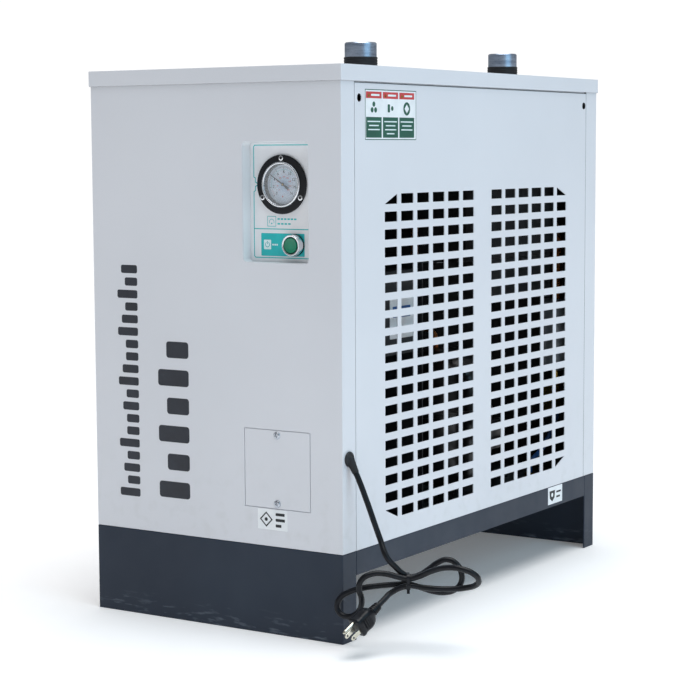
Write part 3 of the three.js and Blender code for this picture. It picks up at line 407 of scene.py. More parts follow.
def recolour(material, colour):
    """Puts another colour on the shader in place of the one it had."""
    link(material, colour, shader_of(material).inputs["Base Color"])


def colour_now(material):
    return shader_of(material).inputs["Base Color"].links[0].from_socket


# ---- Materials ----

def panel_paint():
    """Cool white powder coat: a fine orange peel, and faint dust low down."""
    material = surface("panel_paint", "D7D9DF", "DDDFE5", 0.42, patches=3.1, grain=520, grain_strength=0.35,
                       sockets={"Coat Weight": 0.12, "Coat Roughness": 0.22})
    dust = between(material, axis_of(material, "Z"), BASE_TOP, BASE_TOP + 0.16, 0.3, 0.0)
    specks = between(material, noise(material, 46, 8.0), 0.52, 0.75, 0.0, 1.0)
    both = node(material, "ShaderNodeMath", operation="MULTIPLY")
    link(material, dust, both.inputs[0])
    link(material, specks, both.inputs[1])
    recolour(material, blend_colours(material, both.outputs[0], colour_now(material), tint("C2C4C4")))
    return material


def inside_paint():
    """A dark grey coat for the panels' backs: painted shade, standing in for the shade inside the closed
    cabinet.
    """
    return surface("inside_coat", "16181B", "1F2226", 0.8, patches=20, grain=260, grain_strength=0.7,
                   grain_height=0.0002)


def base_paint():
    """Slate powder coat, scuffed lighter near the floor."""
    material = surface("base_paint", "222C3B", "293443", 0.5, patches=4.3, grain=480, grain_strength=0.4,
                       sockets={"Specular IOR Level": 0.3})
    low_down = between(material, axis_of(material, "Z"), 0.0, 0.035, 0.5, 0.0)
    scuffs = between(material, noise(material, 34, 9.0, (1.0, 1.0, 5.0)), 0.56, 0.7, 0.0, 1.0)
    both = node(material, "ShaderNodeMath", operation="MULTIPLY")
    link(material, low_down, both.inputs[0])
    link(material, scuffs, both.inputs[1])
    recolour(material, blend_colours(material, both.outputs[0], colour_now(material), tint("7C8591")))
    return material


def cord_rubber():
    """Black PVC lead: soft sheen, its black drifting faintly between two tints."""
    return surface("cord_rubber", "05070C", "0A0E17", 0.38, patches=60, grain=1500, grain_strength=0.3,
                   sockets={"Specular IOR Level": 0.28})


def coil_fins():
    """Thin aluminium fins a couple of millimetres apart, seen edge on, with painted shade in the gaps between
    them.
    """
    material = surface("coil_fins", "5F6568", "7D8487", 0.42, metallic=0.85, patches=25, grain=900)
    wave = node(material, "ShaderNodeTexWave", wave_type="BANDS", bands_direction="Y", Scale=70.0)
    link(material, object_place(material), wave.inputs["Vector"])
    # the near-black bands are painted shade in the gaps between the fins
    painted_gap_shade = ramp(material, wave.outputs["Fac"], [(0.35, tint("0C0D0E")), (0.6, tint("858C8F"))])
    recolour(material, painted_gap_shade)
    bumps(material, [(wave.outputs["Fac"], 0.8, 0.0008)])
    return material


def dial_card():
    """Pale blue-white printed card, whiter towards its middle."""
    material = surface("dial_card", "C2D2E6", "D5E1EE", 0.5, patches=90, grain=1600)
    centre = middle("gauge_dial")
    place = node(material, "ShaderNodeVectorMath", operation="DISTANCE")
    link(material, object_place(material), place.inputs[0])
    place.inputs[1].default_value = centre
    share = between(material, place.outputs["Value"], 0.004, 0.015, 0.75, 0.0)
    recolour(material, blend_colours(material, share, colour_now(material), tint("9DBBDD")))
    return material


def clear_lens():
    clear = {"Alpha": 0.13, "IOR": 1.5, "Coat Weight": 1.0, "Coat Roughness": 0.03}
    return surface("clear_lens", "F2F7FA", "FFFFFF", 0.05, patches=30, spread=0.02, grain=90,
                   grain_strength=0.03, sockets=clear)


MATERIALS = {
    "panel": panel_paint(),
    # a dark coat of painted shade for the inner faces of the cabinet's sheets
    "inside": inside_paint(),
    "base": base_paint(),
    "tray": surface("tray_plastic", "E6EAEE", "EDF0F3", 0.38, patches=14, grain=900),
    "overlay": surface("overlay_film", "E6E8EC", "EDEEF1", 0.33, patches=40, grain=1400, grain_strength=0.4),
    "teal": surface("teal_print", "14B2B6", "1DC0C2", 0.4, patches=55, grain=1200),
    "pale_print": surface("pale_print", "D9EDEF", "EAF6F7", 0.42, patches=60, grain=1200),
    "black": surface("black_plastic", "090B10", "10131A", 0.38, patches=40, grain=1100,
                     sockets={"Specular IOR Level": 0.3}),
    "chrome": surface("chrome", "DCDFE4", "F0F2F5", 0.2, metallic=1.0, patches=60, grain=1000, spread=0.05,
                      grain_strength=0.06),
    "lens": clear_lens(),
    "dial": dial_card(),
    "ink": surface("black_ink", "15181C", "22262B", 0.55, patches=70, grain=1300),
    "red_ink": surface("red_ink", "B3242C", "C83A3A", 0.5, patches=70, grain=1300),
    "green_ink": surface("green_ink", "12604F", "1A7560", 0.5, patches=70, grain=1300),
    "needle": surface("needle_paint", "0E0F12", "17191D", 0.4, patches=80, grain=1500),
    "green": surface("button_green", "027355", "058463", 0.34, patches=80, grain=900, grain_strength=0.15,
                     sockets={"Coat Weight": 0.25, "Coat Roughness": 0.2}),
    "socket": surface("socket_steel", "8592A6", "B9C5D6", 0.34, metallic=0.85, patches=22, grain=500,
                      spread=0.1, stretch=(1.0, 1.0, 9.0)),
    "screw": surface("screw_steel", "A3A9B2", "C9CED6", 0.28, metallic=1.0, patches=70, grain=900),
    "rubber": surface("rubber", "0E1014", "181A1F", 0.62, patches=30, grain=800, grain_strength=0.5),
    "foam": surface("foam_cover", "141518", "222428", 0.95, patches=60, grain=420, grain_height=0.0006,
                    grain_strength=0.9),
    "compressor": surface("compressor_paint", "0B0C0E", "15171A", 0.32, patches=15, grain=500,
                          sockets={"Coat Weight": 0.3}),
    "fins": coil_fins(),
    "dark_steel": surface("dark_steel", "24272B", "34383D", 0.5, metallic=0.5, patches=25, grain=700),
    "pan": surface("pan_steel", "6E7479", "868C91", 0.42, metallic=0.8, patches=18, grain=500, spread=0.1),
    "copper": surface("copper", "8E5233", "BC7748", 0.3, metallic=1.0, patches=45, grain=600, spread=0.1),
    "brass": surface("brass", "9A7A35", "C3A04E", 0.3, metallic=1.0, patches=40, grain=700),
    "bowl": surface("bowl_grey", "8E979F", "A5ADB4", 0.4, metallic=0.5, patches=30, grain=500),
    "hose": surface("hose_blue", "25508A", "2F63A5", 0.35, patches=50, grain=900,
                    sockets={"Transmission Weight": 0.1}),
    "pin": surface("pin_metal", "B9B5A6", "DDDACB", 0.22, metallic=1.0, patches=90, grain=1200),
    "cord": cord_rubber(),
    "label": surface("label_paper", "E4E8EC", "F1F4F7", 0.42, patches=50, grain=1300),
    "label_red": surface("label_red", "C23A3F", "CE4A4A", 0.42, patches=50, grain=1300),
    "label_green": surface("label_green", "0A4F40", "0F5B49", 0.42, patches=50, grain=1300),
    "graphic": surface("front_graphic", "1B1F29", "262B36", 0.5, patches=25, grain=900),
}

PAINTED = {
    "panel": ["front_panel", "rear_panel", "right_side_panel", "left_side_panel", "top_lid", "access_cover"],
    "base": ["base_front_channel", "base_rear_channel", "base_rail_right", "base_rail_left"],
    "pan": ["floor_pan", "exchanger_shelf"],
    "tray": ["control_recess_tray"],
    "overlay": ["control_overlay"],
    "black": ["button_contact_block", "compressor_terminal_cover", "fan_motor"],
    "foam": ["heat_exchanger"],
    "compressor": ["compressor"],
    "rubber": ["compressor_foot_1", "compressor_foot_2", "compressor_foot_3"],
    "fins": ["condenser_coil"],
    "dark_steel": ["fan_shroud", "electrical_box"],
    "copper": ["suction_line", "discharge_line", "liquid_line", "inlet_pipe", "outlet_pipe", "filter_drier",
               "separator_pipe"],
    "bowl": ["water_separator"],
    "brass": ["auto_drain", "drain_outlet"],
    "hose": ["drain_hose"],
}

SHEET_METAL = {
    "front_panel": 0.0006, "rear_panel": 0.0006, "right_side_panel": 0.0003, "left_side_panel": 0.0003,
    "top_lid": 0.0007, "access_cover": 0.0005, "base_front_channel": 0.001, "base_rear_channel": 0.001,
    "base_rail_right": 0.0008, "base_rail_left": 0.0008, "control_recess_tray": 0.0005,
}


def soften_group():
    """Welds a mesh and makes it smooth wherever its faces meet at a shallow angle."""
    group = bpy.data.node_groups.new("soften", "GeometryNodeTree")
    group.interface.new_socket("Geometry", in_out="INPUT", socket_type="NodeSocketGeometry")
    group.interface.new_socket("Geometry", in_out="OUTPUT", socket_type="NodeSocketGeometry")
    nodes = group.nodes
    enter = nodes.new("NodeGroupInput")
    leave = nodes.new("NodeGroupOutput")
    weld = nodes.new("GeometryNodeMergeByDistance")
    weld.inputs["Distance"].default_value = 0.00001
    faces = nodes.new("GeometryNodeSetShadeSmooth")
    faces.domain = "FACE"
    angle = nodes.new("GeometryNodeInputMeshEdgeAngle")
    shallow = nodes.new("FunctionNodeCompare")
    shallow.operation = "LESS_THAN"
    shallow.inputs[1].default_value = math.radians(34)
    edges = nodes.new("GeometryNodeSetShadeSmooth")
    edges.domain = "EDGE"
    for source, target in (
        (enter.outputs[0], weld.inputs["Geometry"]), (weld.outputs["Geometry"], faces.inputs["Geometry"]),
        (faces.outputs["Geometry"], edges.inputs["Geometry"]), (edges.outputs["Geometry"], leave.inputs[0]),
        (angle.outputs["Unsigned Angle"], shallow.inputs[0]),
        (shallow.outputs["Result"], edges.inputs["Shade Smooth"]),
    ):
        group.links.new(source, target)
    return group


def finish_frame():
    """Gives each CAD node that stays visible its finish, its eased edges and its smooth rounds."""
    group = soften_group()
    for finish, names in PAINTED.items():
        for name in names:
            piece = NODES[name]
            mesh = piece.data
            mesh.materials.clear()
            mesh.materials.append(MATERIALS[finish])
            mesh.polygons.foreach_set("material_index", [0] * len(mesh.polygons))
            if "custom_normal" in mesh.attributes:
                mesh.attributes.remove(mesh.attributes["custom_normal"])
            if name in SHEET_METAL:
                mesh.shade_flat()
                weld = piece.modifiers.new("weld", "WELD")
                weld.merge_threshold = 0.00001
                flatten = piece.modifiers.new("flatten", "DECIMATE")
                flatten.decimate_type = "DISSOLVE"
                flatten.angle_limit = math.radians(1)
                ease = piece.modifiers.new("ease", "BEVEL")
                ease.width = SHEET_METAL[name]
                ease.segments = 2
                ease.angle_limit = math.radians(35)
                ease.use_clamp_overlap = False
            else:
                soften = piece.modifiers.new("soften", "NODES")
                soften.node_group = group


finish_frame()


# ---- Mains lead ----
# The hank hangs in an upright plane of its own: X along its loops, Y through its thickness, Z up.

CORD_DIAMETER = 0.008
GLAND = Vector((RIGHT, middle("cable_gland").y, high("cable_gland").z - 0.0105))
DROOP = math.radians(62)
KNUCKLE = 0.002                  # the sleeve's axis starts this far out of the panel
SLEEVE = 0.020                   # length of the sleeve
SEAM = 0.0003                    # gap between the lead's ends and what they go into
BUNDLE_PLACE = (RIGHT + 0.086, FRONT + 0.016, 0)
BUNDLE_TURN = math.radians(32.4)
BUNDLE = Matrix.Translation(BUNDLE_PLACE) @ Matrix.Rotation(BUNDLE_TURN, 4, "Z")
PLUG_FACE = Vector((-0.064, -0.038, 0.041))
PLUG_AXIS = Vector((-0.65, -0.54, -0.54)).normalized()
BLADE_AXIS = Vector((-0.65, 0.752, 0.03)).normalized()
PLUG_BODY = 0.032
PLUG_RELIEF = 0.014
TIE_MIDDLE = 0.006


def along_sleeve(distance):
    """The point on the gland sleeve's axis that lies this far from its ball."""
    return GLAND + Vector((KNUCKLE + distance * math.cos(DROOP), 0, -distance * math.sin(DROOP)))


def in_bundle(point):
    return BUNDLE @ Vector(point)


def behind_plug(distance):
    return in_bundle(PLUG_FACE - PLUG_AXIS * (PLUG_BODY + PLUG_RELIEF + distance))


def cord_route():
    lead = [
        along_sleeve(SLEEVE + SEAM), along_sleeve(SLEEVE + 0.008),
        Vector((0.2435, -0.379, 0.1975)), Vector((0.2526, -0.379, 0.1756)), Vector((0.263, -0.3785, 0.150)),
    ]
    into_tie = [
        (-0.022, 0.006, 0.1265), (-0.011, 0.0074, 0.1135), (-0.001, 0.0084, 0.104), (0.009, 0.0088, 0.0996),
    ]
    back_loop = [
        (0.021, 0.0088, 0.1018), (0.034, 0.0086, 0.110), (0.046, 0.0078, 0.119), (0.059, 0.0055, 0.1235),
        (0.071, 0.003, 0.118), (0.0775, 0.001, 0.106), (0.077, 0.001, 0.093), (0.069, 0.0035, 0.083),
        (0.056, 0.0065, 0.0785), (0.043, 0.008, 0.079), (0.024, 0.0088, 0.0845), (0.006, 0.0088, 0.0894),
    ]
    left_loop = [
        (-0.010, 0.0096, 0.089), (-0.032, 0.013, 0.0865), (-0.054, 0.0175, 0.0825), (-0.072, 0.0215, 0.0765),
        (-0.085, 0.0245, 0.0675), (-0.0895, 0.025, 0.056), (-0.086, 0.023, 0.0465), (-0.076, 0.0185, 0.043),
        (-0.065, 0.012, 0.0475), (-0.058, 0.0055, 0.058), (-0.0565, 0.0008, 0.0715), (-0.060, -0.0015, 0.086),
        (-0.056, -0.0022, 0.0985), (-0.043, -0.0018, 0.1058), (-0.025, -0.0006, 0.106), (-0.008, 0, 0.1016),
        (0.006, 0, 0.0988),
    ]
    front_loop = [
        (0.020, -0.0025, 0.1025), (0.037, -0.013, 0.112), (0.057, -0.027, 0.1195), (0.077, -0.0375, 0.1195),
        (0.092, -0.0390, 0.113), (0.0985, -0.032, 0.103), (0.095, -0.0215, 0.0945), (0.083, -0.0125, 0.089),
        (0.066, -0.006, 0.086), (0.046, -0.003, 0.0855), (0.026, -0.0012, 0.087), (0.006, -0.0006, 0.0892),
    ]
    bundled = [in_bundle(p) for p in into_tie + back_loop + left_loop + front_loop]
    return lead + bundled + [behind_plug(t) for t in (0.024, 0.014, 0.006, SEAM)]


def make_cord():
    curve = bpy.data.curves.new("mains_lead", "CURVE")
    curve.dimensions = "3D"
    curve.bevel_depth = CORD_DIAMETER / 2
    curve.bevel_resolution = 6
    curve.resolution_u = 8
    curve.use_fill_caps = True
    route = cord_route()
    spline = curve.splines.new("BEZIER")
    spline.bezier_points.add(len(route) - 1)
    for knot, place in zip(spline.bezier_points, route):
        knot.co = place
        knot.handle_left_type = "AUTO"
        knot.handle_right_type = "AUTO"
    return put("mains_lead", curve, MATERIALS["cord"], slot="rubber",
               replaces=("cord_lead", "cord_hank", "cord_tail"))


def superellipse(half_x, half_y, squareness, count=48):
    """A rounded outline: squareness 2 is an ellipse, and more is squarer."""
    out = []
    for i in range(count):
        angle = 2 * math.pi * i / count
        c, s = math.cos(angle), math.sin(angle)
        x = math.copysign(abs(c) ** (2 / squareness), c) * half_x
        y = math.copysign(abs(s) ** (2 / squareness), s) * half_y
        out.append((x, y))
    return out


def plug_place():
    """The plug's own frame: Z out of its face, X across its blades, Y away from its ground pin."""
    across = PLUG_AXIS.cross(BLADE_AXIS)
    turn = Matrix((BLADE_AXIS, across, PLUG_AXIS)).transposed().to_4x4()
    return BUNDLE @ Matrix.Translation(PLUG_FACE) @ turn


def plug_body():
    """Moulded body: ribbed strain relief, sloping shoulders, a waisted grip and a flat face."""
    sections = [(-0.046, 0.0053, 0.0053, 2)]
    for rib in range(4):
        start = -0.0445 + rib * 0.0032
        outer = 0.0061 + rib * 0.0003
        groove = outer - 0.0009
        sections += [
            (start, outer, outer, 2), (start + 0.0013, outer, outer, 2),
            (start + 0.0017, groove, groove, 2), (start + 0.0028, groove, groove, 2),
        ]
    sections += [
        (-0.0316, 0.0070, 0.0076, 2.1), (-0.0295, 0.0082, 0.0100, 2.5), (-0.0265, 0.0096, 0.0122, 3.0),
        (-0.0225, 0.0106, 0.0133, 3.6), (-0.0180, 0.0109, 0.0136, 4.2), (-0.0120, 0.0104, 0.0131, 4.4),
        (-0.0070, 0.0104, 0.0131, 4.4), (-0.0055, 0.0112, 0.0138, 4.4), (-0.0022, 0.0113, 0.0139, 4.4),
        (-0.0008, 0.0109, 0.0135, 4.4), (0.0, 0.0101, 0.0127, 4.2),
    ]
    bm = bmesh.new()
    add_rings(bm, [[Vector((x, y, z)) for x, y in superellipse(a, b, n)] for z, a, b, n in sections])
    for side in (-1, 1):
        for ridge in range(4):
            z = -0.0205 + ridge * 0.0034
            turn = Matrix.Translation((side * 0.0101, 0, z)) @ Matrix.Rotation(math.radians(90), 4, "Y")
            add_plate(bm, -0.0007, 0.0007, -0.0075, 0.0075, -0.0012, 0.0012, 0.0006, turn)
    mesh = mesh_from(bm, "plug_moulding", 50)
    mesh.transform(plug_place())
    return put("plug_moulding", mesh, MATERIALS["cord"], slot="rubber", replaces=("plug_body",))


def plug_pins():
    """Two flat blades with rounded tips and an eye each, and the round ground pin."""
    blade_y = 0.003
    pieces = []
    for side, name in ((-1, "blade_front"), (1, "blade_back")):
        bm = bmesh.new()
        length, half = 0.0175, 0.00315
        outline = [(-half, 0.0003), (half, 0.0003), (half, length - 0.0016), (half - 0.0014, length),
                   (-half + 0.0014, length), (-half, length - 0.0016)]
        turn = Matrix(((0, 0, 1, side * 0.00635), (1, 0, 0, blade_y), (0, 1, 0, 0), (0, 0, 0, 1)))
        add_prism(bm, outline, -0.00075, 0.00075, turn)
        piece = put(name, mesh_from(bm, name), MATERIALS["pin"], slot="pin_metal",
                    replaces=("plug_" + name,))
        eye_bm = bmesh.new()
        eye_turn = turn @ Matrix.Translation((0, length - 0.004, 0))
        add_prism(eye_bm, circle(0.0016, 24), -0.004, 0.004, eye_turn)
        eye = bpy.data.objects.new("eye_cutter", mesh_from(eye_bm, "eye_cutter"))
        bpy.context.scene.collection.objects.link(eye)
        cut = piece.modifiers.new("eye", "BOOLEAN")
        cut.object = eye
        cut.operation = "DIFFERENCE"
        ease = piece.modifiers.new("ease", "BEVEL")
        ease.width = 0.00025
        ease.segments = 2
        applied(piece)
        bpy.data.objects.remove(eye)
        piece.data.transform(plug_place())
        pieces.append(piece)
    profile = [
        (0, 0.0003), (0.0024, 0.0003), (0.0024, 0.0175), (0.0019, 0.0196), (0.0012, 0.0207), (0, 0.021),
    ]
    pin_place = plug_place() @ Matrix.Translation((0, blade_y - 0.0119, 0))
    pieces.append(turned("ground_pin", profile, pin_place, MATERIALS["pin"], radius=0.0008, segments=40,
                         slot="pin_metal", replaces=("plug_ground_pin",)))
    return pieces


def cord_tie():
    """A nylon tie pulled round the four runs at the neck, with its head and cut tail."""
    wall, half_width = 0.0013, 0.002
    y0, y1, z0, z1 = -0.0052, 0.0134, 0.0847, 0.1043
    corner = 0.0043
    rings = []
    for out, a in ((0, -half_width), (wall, -half_width), (wall, half_width), (0, half_width)):
        ring = []
        for cy, cz, start in ((y1, z1, 0), (y0, z1, 90), (y0, z0, 180), (y1, z0, 270)):
            py = cy - corner if cy == y1 else cy + corner
            pz = cz - corner if cz == z1 else cz + corner
            for i in range(9):
                angle = math.radians(start + 90 * i / 8)
                reach = corner + out
                ring.append((TIE_MIDDLE + a, py + reach * math.cos(angle), pz + reach * math.sin(angle)))
        rings.append(ring)
    bm = bmesh.new()
    made = [[bm.verts.new(p) for p in ring] for ring in rings]
    count = len(made[0])
    for inner, outer in zip(made, made[1:] + made[:1]):
        for i in range(count):
            j = (i + 1) % count
            bm.faces.new((inner[i], inner[j], outer[j], outer[i]))
    head = Matrix.Translation((TIE_MIDDLE, y0 - 0.0016, z0 + 0.004))
    add_plate(bm, -0.0029, 0.0029, -0.0017, 0.0017, -0.003, 0.0028, 0.0006, head)
    tail_lean = Matrix.Rotation(math.radians(-12), 4, "X")
    tail = Matrix.Translation((TIE_MIDDLE, y0 - 0.0018, z0 - 0.0026)) @ tail_lean
    add_plate(bm, -0.002, 0.002, -0.0006, 0.0006, -0.0022, 0.0035, 0.0003, tail)
    mesh = mesh_from(bm, "nylon_tie", 45)
    mesh.transform(BUNDLE)
    return put("nylon_tie", mesh, MATERIALS["black"], slot="black_plastic", replaces=("cord_tie",))


def gland_piece():
    """A black bushing in the panel and a slim sleeve that tapers down the lead."""
    bm = bmesh.new()
    flange = [
        (0, -0.008), (0.0078, -0.008), (0.0078, 0.0003), (0.0105, 0.0003), (0.0105, 0.0022), (0.0092, 0.0035),
        (0.0080, 0.0036), (0.0070, 0.0050), (0, 0.0056),
    ]
    add_turned(bm, rounded(flange, 0.0008), 72, facing_right(GLAND))
    line = [GLAND + Vector((-0.002, 0, 0.0022)), GLAND + Vector((0.002, 0, 0.0012))]
    line += [along_sleeve(SLEEVE * i / 30) for i in range(5, 31)]
    line = smooth_curve(line, 3)
    sections = []
    for i in range(len(line)):
        share = i / (len(line) - 1)
        radius = 0.0060 - 0.0014 * share
        sections.append(circle(radius, 48))
    add_rings(bm, sweep(line, sections))
    mesh = mesh_from(bm, "lead_bushing", 42)
    return put("lead_bushing", mesh, MATERIALS["rubber"], slot="rubber", replaces=("cable_gland",))


def mains_lead():
    cord = make_cord()
    on_it = [plug_body(), *plug_pins(), cord_tie(), gland_piece()]


mains_lead()


# ---- Dark insides: painted shade ----

SKIN_REACH = {0: 0.19, 1: 0.35}  # along X or Y, faces further out than this belong to a panel
SQUARE_ON = 0.7                  # a face looks along an axis when its normal has this much of it
LID_DEPTH = 0.03


def darken_inside():
    """The inner faces of the cabinet's sheets carry a dark coat of painted shade, so little light comes back
    out.
    """
    for node_name in ("front_panel", "right_side_panel", "left_side_panel", "rear_panel", "top_lid"):
        piece = bpy.data.objects[node_name]
        # the dark coat is painted shade for the inside of the closed cabinet
        piece.data.materials.append(MATERIALS["inside"])
        shade_slot = len(piece.data.materials) - 1
        for polygon in piece.data.polygons:
            normal, centre = polygon.normal, polygon.center
            inward = any(
                abs(normal[axis]) > SQUARE_ON
                and abs(centre[axis]) > limit
                and normal[axis] * centre[axis] < 0
                for axis, limit in SKIN_REACH.items()
            )
            if inward or (normal.z < -SQUARE_ON and centre.z > LID_TOP - LID_DEPTH):
                polygon.material_index = shade_slot


# ---- Screws ----

def cross_screw(name, place, head, height, material, replaces=()):
    """A domed head with a cross recess, on the place's own Z."""
    profile = [(0, -0.002), (head, -0.002), (head, height * 0.35), (head * 0.86, height * 0.8),
               (head * 0.55, height), (0, height * 1.04)]
    bm = bmesh.new()
    add_turned(bm, rounded(profile, head * 0.12), 48)
    piece = put(name, mesh_from(bm, name, 50), material, slot="screw_steel", replaces=replaces)
    cutter_bm = bmesh.new()
    arm, slit = head * 0.56, head * 0.13
    for turn in (0.35, 0.35 + math.pi / 2):
        spin = Matrix.Rotation(turn, 4, "Z")
        add_plate(cutter_bm, -arm, arm, -slit, slit, height * 0.25, height * 2, place=spin)
    cutter = bpy.data.objects.new("cross_cutter", mesh_from(cutter_bm, "cross_cutter"))
    bpy.context.scene.collection.objects.link(cutter)
    cut = piece.modifiers.new("recess", "BOOLEAN")
    cut.object = cutter
    cut.use_self = True
    applied(piece)
    bpy.data.objects.remove(cutter)
    piece.data.transform(place)
    return piece


def cover_screws():
    for index in (1, 2):
        screw_node = "cover_screw_" + str(index)
        at = middle(screw_node)
        place = facing_front(Vector((at.x, FRONT - 0.0001, at.z)))
        cross_screw("access_screw_" + str(index), place, 0.005, 0.0018, MATERIALS["screw"], (screw_node,))
        washer = [(0.0034, 0), (0.0056, 0), (0.0056, 0.0004), (0.0034, 0.0004), (0.0034, 0)]
        turned("access_washer_" + str(index), washer, place, MATERIALS["screw"], radius=0.0001, segments=48,
               slot="screw_steel")


# ---- Pressure gauge ----

GAUGE = middle("gauge_dial")
GAUGE_SEAT = low("control_overlay").y - 0.0003
DIAL_RADIUS = (high("gauge_dial").x - low("gauge_dial").x) / 2
DIAL_SINK = 0.003                # the printed dial lies this far behind the CAD piece's face
SCALE_START = math.radians(225)
SCALE_SWEEP = math.radians(-270)


def on_gauge(out):
    """A place on the gauge's axis, so far in front of its seat."""
    return Vector((GAUGE.x, GAUGE_SEAT - out, GAUGE.z))


def gauge_housing():
    back = GAUGE_SEAT - high("gauge_case").y
    case = [
        (0, back), (0.028, back), (0.030, back + 0.003), (0.030, -0.0001), (0.0405, -0.0001), (0.0405, 0.003),
        (0.0300, 0.003), (0.0280, 0.003), (0.0280, -0.006), (0, -0.006),
    ]
    turned("gauge_housing", case, facing_front(on_gauge(0)), MATERIALS["black"], radius=0.0009,
           slot="black_plastic", replaces=("gauge_case",))
    bezel = [
        (0.0280, 0.0031), (0.0311, 0.0031), (0.0314, 0.0042), (0.0305, 0.0056), (0.0286, 0.0056),
        (0.0280, 0.0048), (0.0280, 0.0031),
    ]
    turned("gauge_rim", bezel, facing_front(on_gauge(0)), MATERIALS["chrome"], radius=0.0006, segments=128,
           slot="chrome", replaces=("gauge_bezel",))
    lens = [
        (0, 0.0030), (0.0279, 0.0030), (0.0279, 0.0041), (0.020, 0.0044), (0.010, 0.0046), (0, 0.00462),
    ]
    turned("gauge_glass", lens, facing_front(on_gauge(0)), MATERIALS["lens"], radius=0.0002,
           slot="clear_lens", replaces=("gauge_lens",))
    liner = [(0.0268, -0.0042), (0.0279, -0.0042), (0.0279, 0.0028), (0.0275, 0.0028), (0.0268, -0.0042)]
    turned("gauge_liner", liner, facing_front(on_gauge(0)), MATERIALS["black"], radius=0.0002,
           slot="black_plastic")
    for index, angle in enumerate((90, 210, 330), start=1):
        turn = math.radians(angle)
        at = on_gauge(0.0027) + Vector((0.036 * math.cos(turn), 0, 0.036 * math.sin(turn)))
        eyelet = [(0, 0), (0.0036, 0), (0.0036, 0.0007), (0.0022, 0.0009), (0, 0.0009)]
        turned("gauge_eyelet_" + str(index), eyelet, facing_front(at), MATERIALS["chrome"], radius=0.0002,
               segments=40, slot="screw_steel")
        cross_screw("gauge_screw_" + str(index), facing_front(at + Vector((0, -0.0009, 0))), 0.0021, 0.0009,
                    MATERIALS["ink"])


def dial_tick(bm, angle, inner, outer, width, top):
    turn = Matrix.Rotation(angle, 4, "Z")
    add_plate(bm, inner, outer, -width / 2, width / 2, 0, top, place=turn)


def add_text(bm, words, size, place):
    """Plain figures as a thin raised mesh, centred on the place."""
    curve = bpy.data.curves.new("figures", "FONT")
    curve.body = words
    curve.size = size
    curve.extrude = LIFT / 2
    curve.offset = size * 0.02
    curve.align_x = "CENTER"
    curve.align_y = "CENTER"
    carrier = bpy.data.objects.new("figures", curve)
    bpy.context.scene.collection.objects.link(carrier)
    bpy.context.view_layer.update()
    mesh = bpy.data.meshes.new_from_object(carrier.evaluated_get(bpy.context.evaluated_depsgraph_get()))
    mesh.transform(place)
    bm.from_mesh(mesh)
    bpy.data.objects.remove(carrier)


def dial_print():
    """Two plain scales: an outer one in black with figures, and an inner one in red and green."""
    front = GAUGE_SEAT - low("gauge_dial").y - DIAL_SINK
    face = facing_front(on_gauge(front))
    card = [(0, -0.0008), (DIAL_RADIUS, -0.0008), (DIAL_RADIUS, 0), (0, 0)]
    turned("dial_card", card, face, MATERIALS["dial"], radius=0.0002, slot="dial_print",
           replaces=("gauge_dial",))
    black = bmesh.new()
    colour = {"red_ink": bmesh.new(), "green_ink": bmesh.new(), "teal": bmesh.new()}
    marks = 80
    for i in range(marks + 1):
        angle = SCALE_START + SCALE_SWEEP * i / marks
        large = i % 10 == 0
        inner = 0.0208 if large else (0.0220 if i % 5 == 0 else 0.0228)
        dial_tick(black, angle, inner, 0.0250, 0.0006 if large else 0.00026, LIFT)
        if i % 4 == 0:
            dial_tick(colour["red_ink"], angle, 0.0135, 0.0150, 0.00034, LIFT)
        if large:
            at = Matrix.Translation((0.0172 * math.cos(angle), 0.0172 * math.sin(angle), LIFT / 2))
            add_text(black, str(i // 5), 0.0054, at)
            small = Matrix.Translation((0.0105 * math.cos(angle), 0.0105 * math.sin(angle), LIFT / 2))
            add_text(colour["red_ink"], str(i * 3), 0.0030, small)
    band_radius = 0.0206
    for finish, start, stop in (("red_ink", 0, 8), ("teal", 10, 55), ("green_ink", 60, 76)):
        path = []
        for i in range(start, stop + 1):
            angle = SCALE_START + SCALE_SWEEP * i / marks
            path.append((band_radius * math.cos(angle), band_radius * math.sin(angle)))
        add_band(colour[finish], path, 0.0004, 0, LIFT)
    add_prism(colour["red_ink"], circle(0.0011, 24, -0.002, -0.0165), 0, LIFT)
    for name, bm, finish in [("dial_black", black, "ink")] + [("dial_" + k, v, k) for k, v in colour.items()]:
        mesh = mesh_from(bm, name)
        mesh.transform(face)
        put(name, mesh, MATERIALS[finish], slot="dial_print")


def gauge_pointer():
    """A tapered pointer with a broad tail, a hub and a brass pin, resting against its stop."""
    out = GAUGE_SEAT - low("gauge_dial").y - DIAL_SINK + 0.0028
    turn = Matrix.Rotation(math.radians(147), 4, "Z")
    bm = bmesh.new()
    shaft = [(-0.0110, -0.0019), (-0.0064, -0.0016), (-0.0048, -0.0010), (0, -0.0010), (0.0238, -0.0005),
             (0.0246, 0), (0.0238, 0.0005), (0, 0.0010), (-0.0048, 0.0010), (-0.0064, 0.0016),
             (-0.0110, 0.0019)]
    add_prism(bm, shaft, -0.0003, 0.0003, turn)
    hub = [(0, -0.0024), (0.0012, -0.0024), (0.0012, -0.0003), (0.0024, -0.0003), (0.0024, 0.0005),
           (0.0019, 0.0008), (0, 0.0008)]
    add_turned(bm, rounded(hub, 0.0002), 40)
    mesh = mesh_from(bm, "dial_pointer", 40)
    place = facing_front(on_gauge(out))
    mesh.transform(place)
    put("dial_pointer", mesh, MATERIALS["needle"], body="gauge_pointer", slot="needle_paint",
        replaces=("gauge_needle",))
    pin = [(0, 0.0006), (0.0012, 0.0006), (0.0012, 0.0011), (0.0007, 0.0014), (0, 0.0014)]
    turned("pointer_pin", pin, place, MATERIALS["brass"], radius=0.0002, segments=32, body="gauge_pointer",
           slot="brass")


# ---- Push button ----

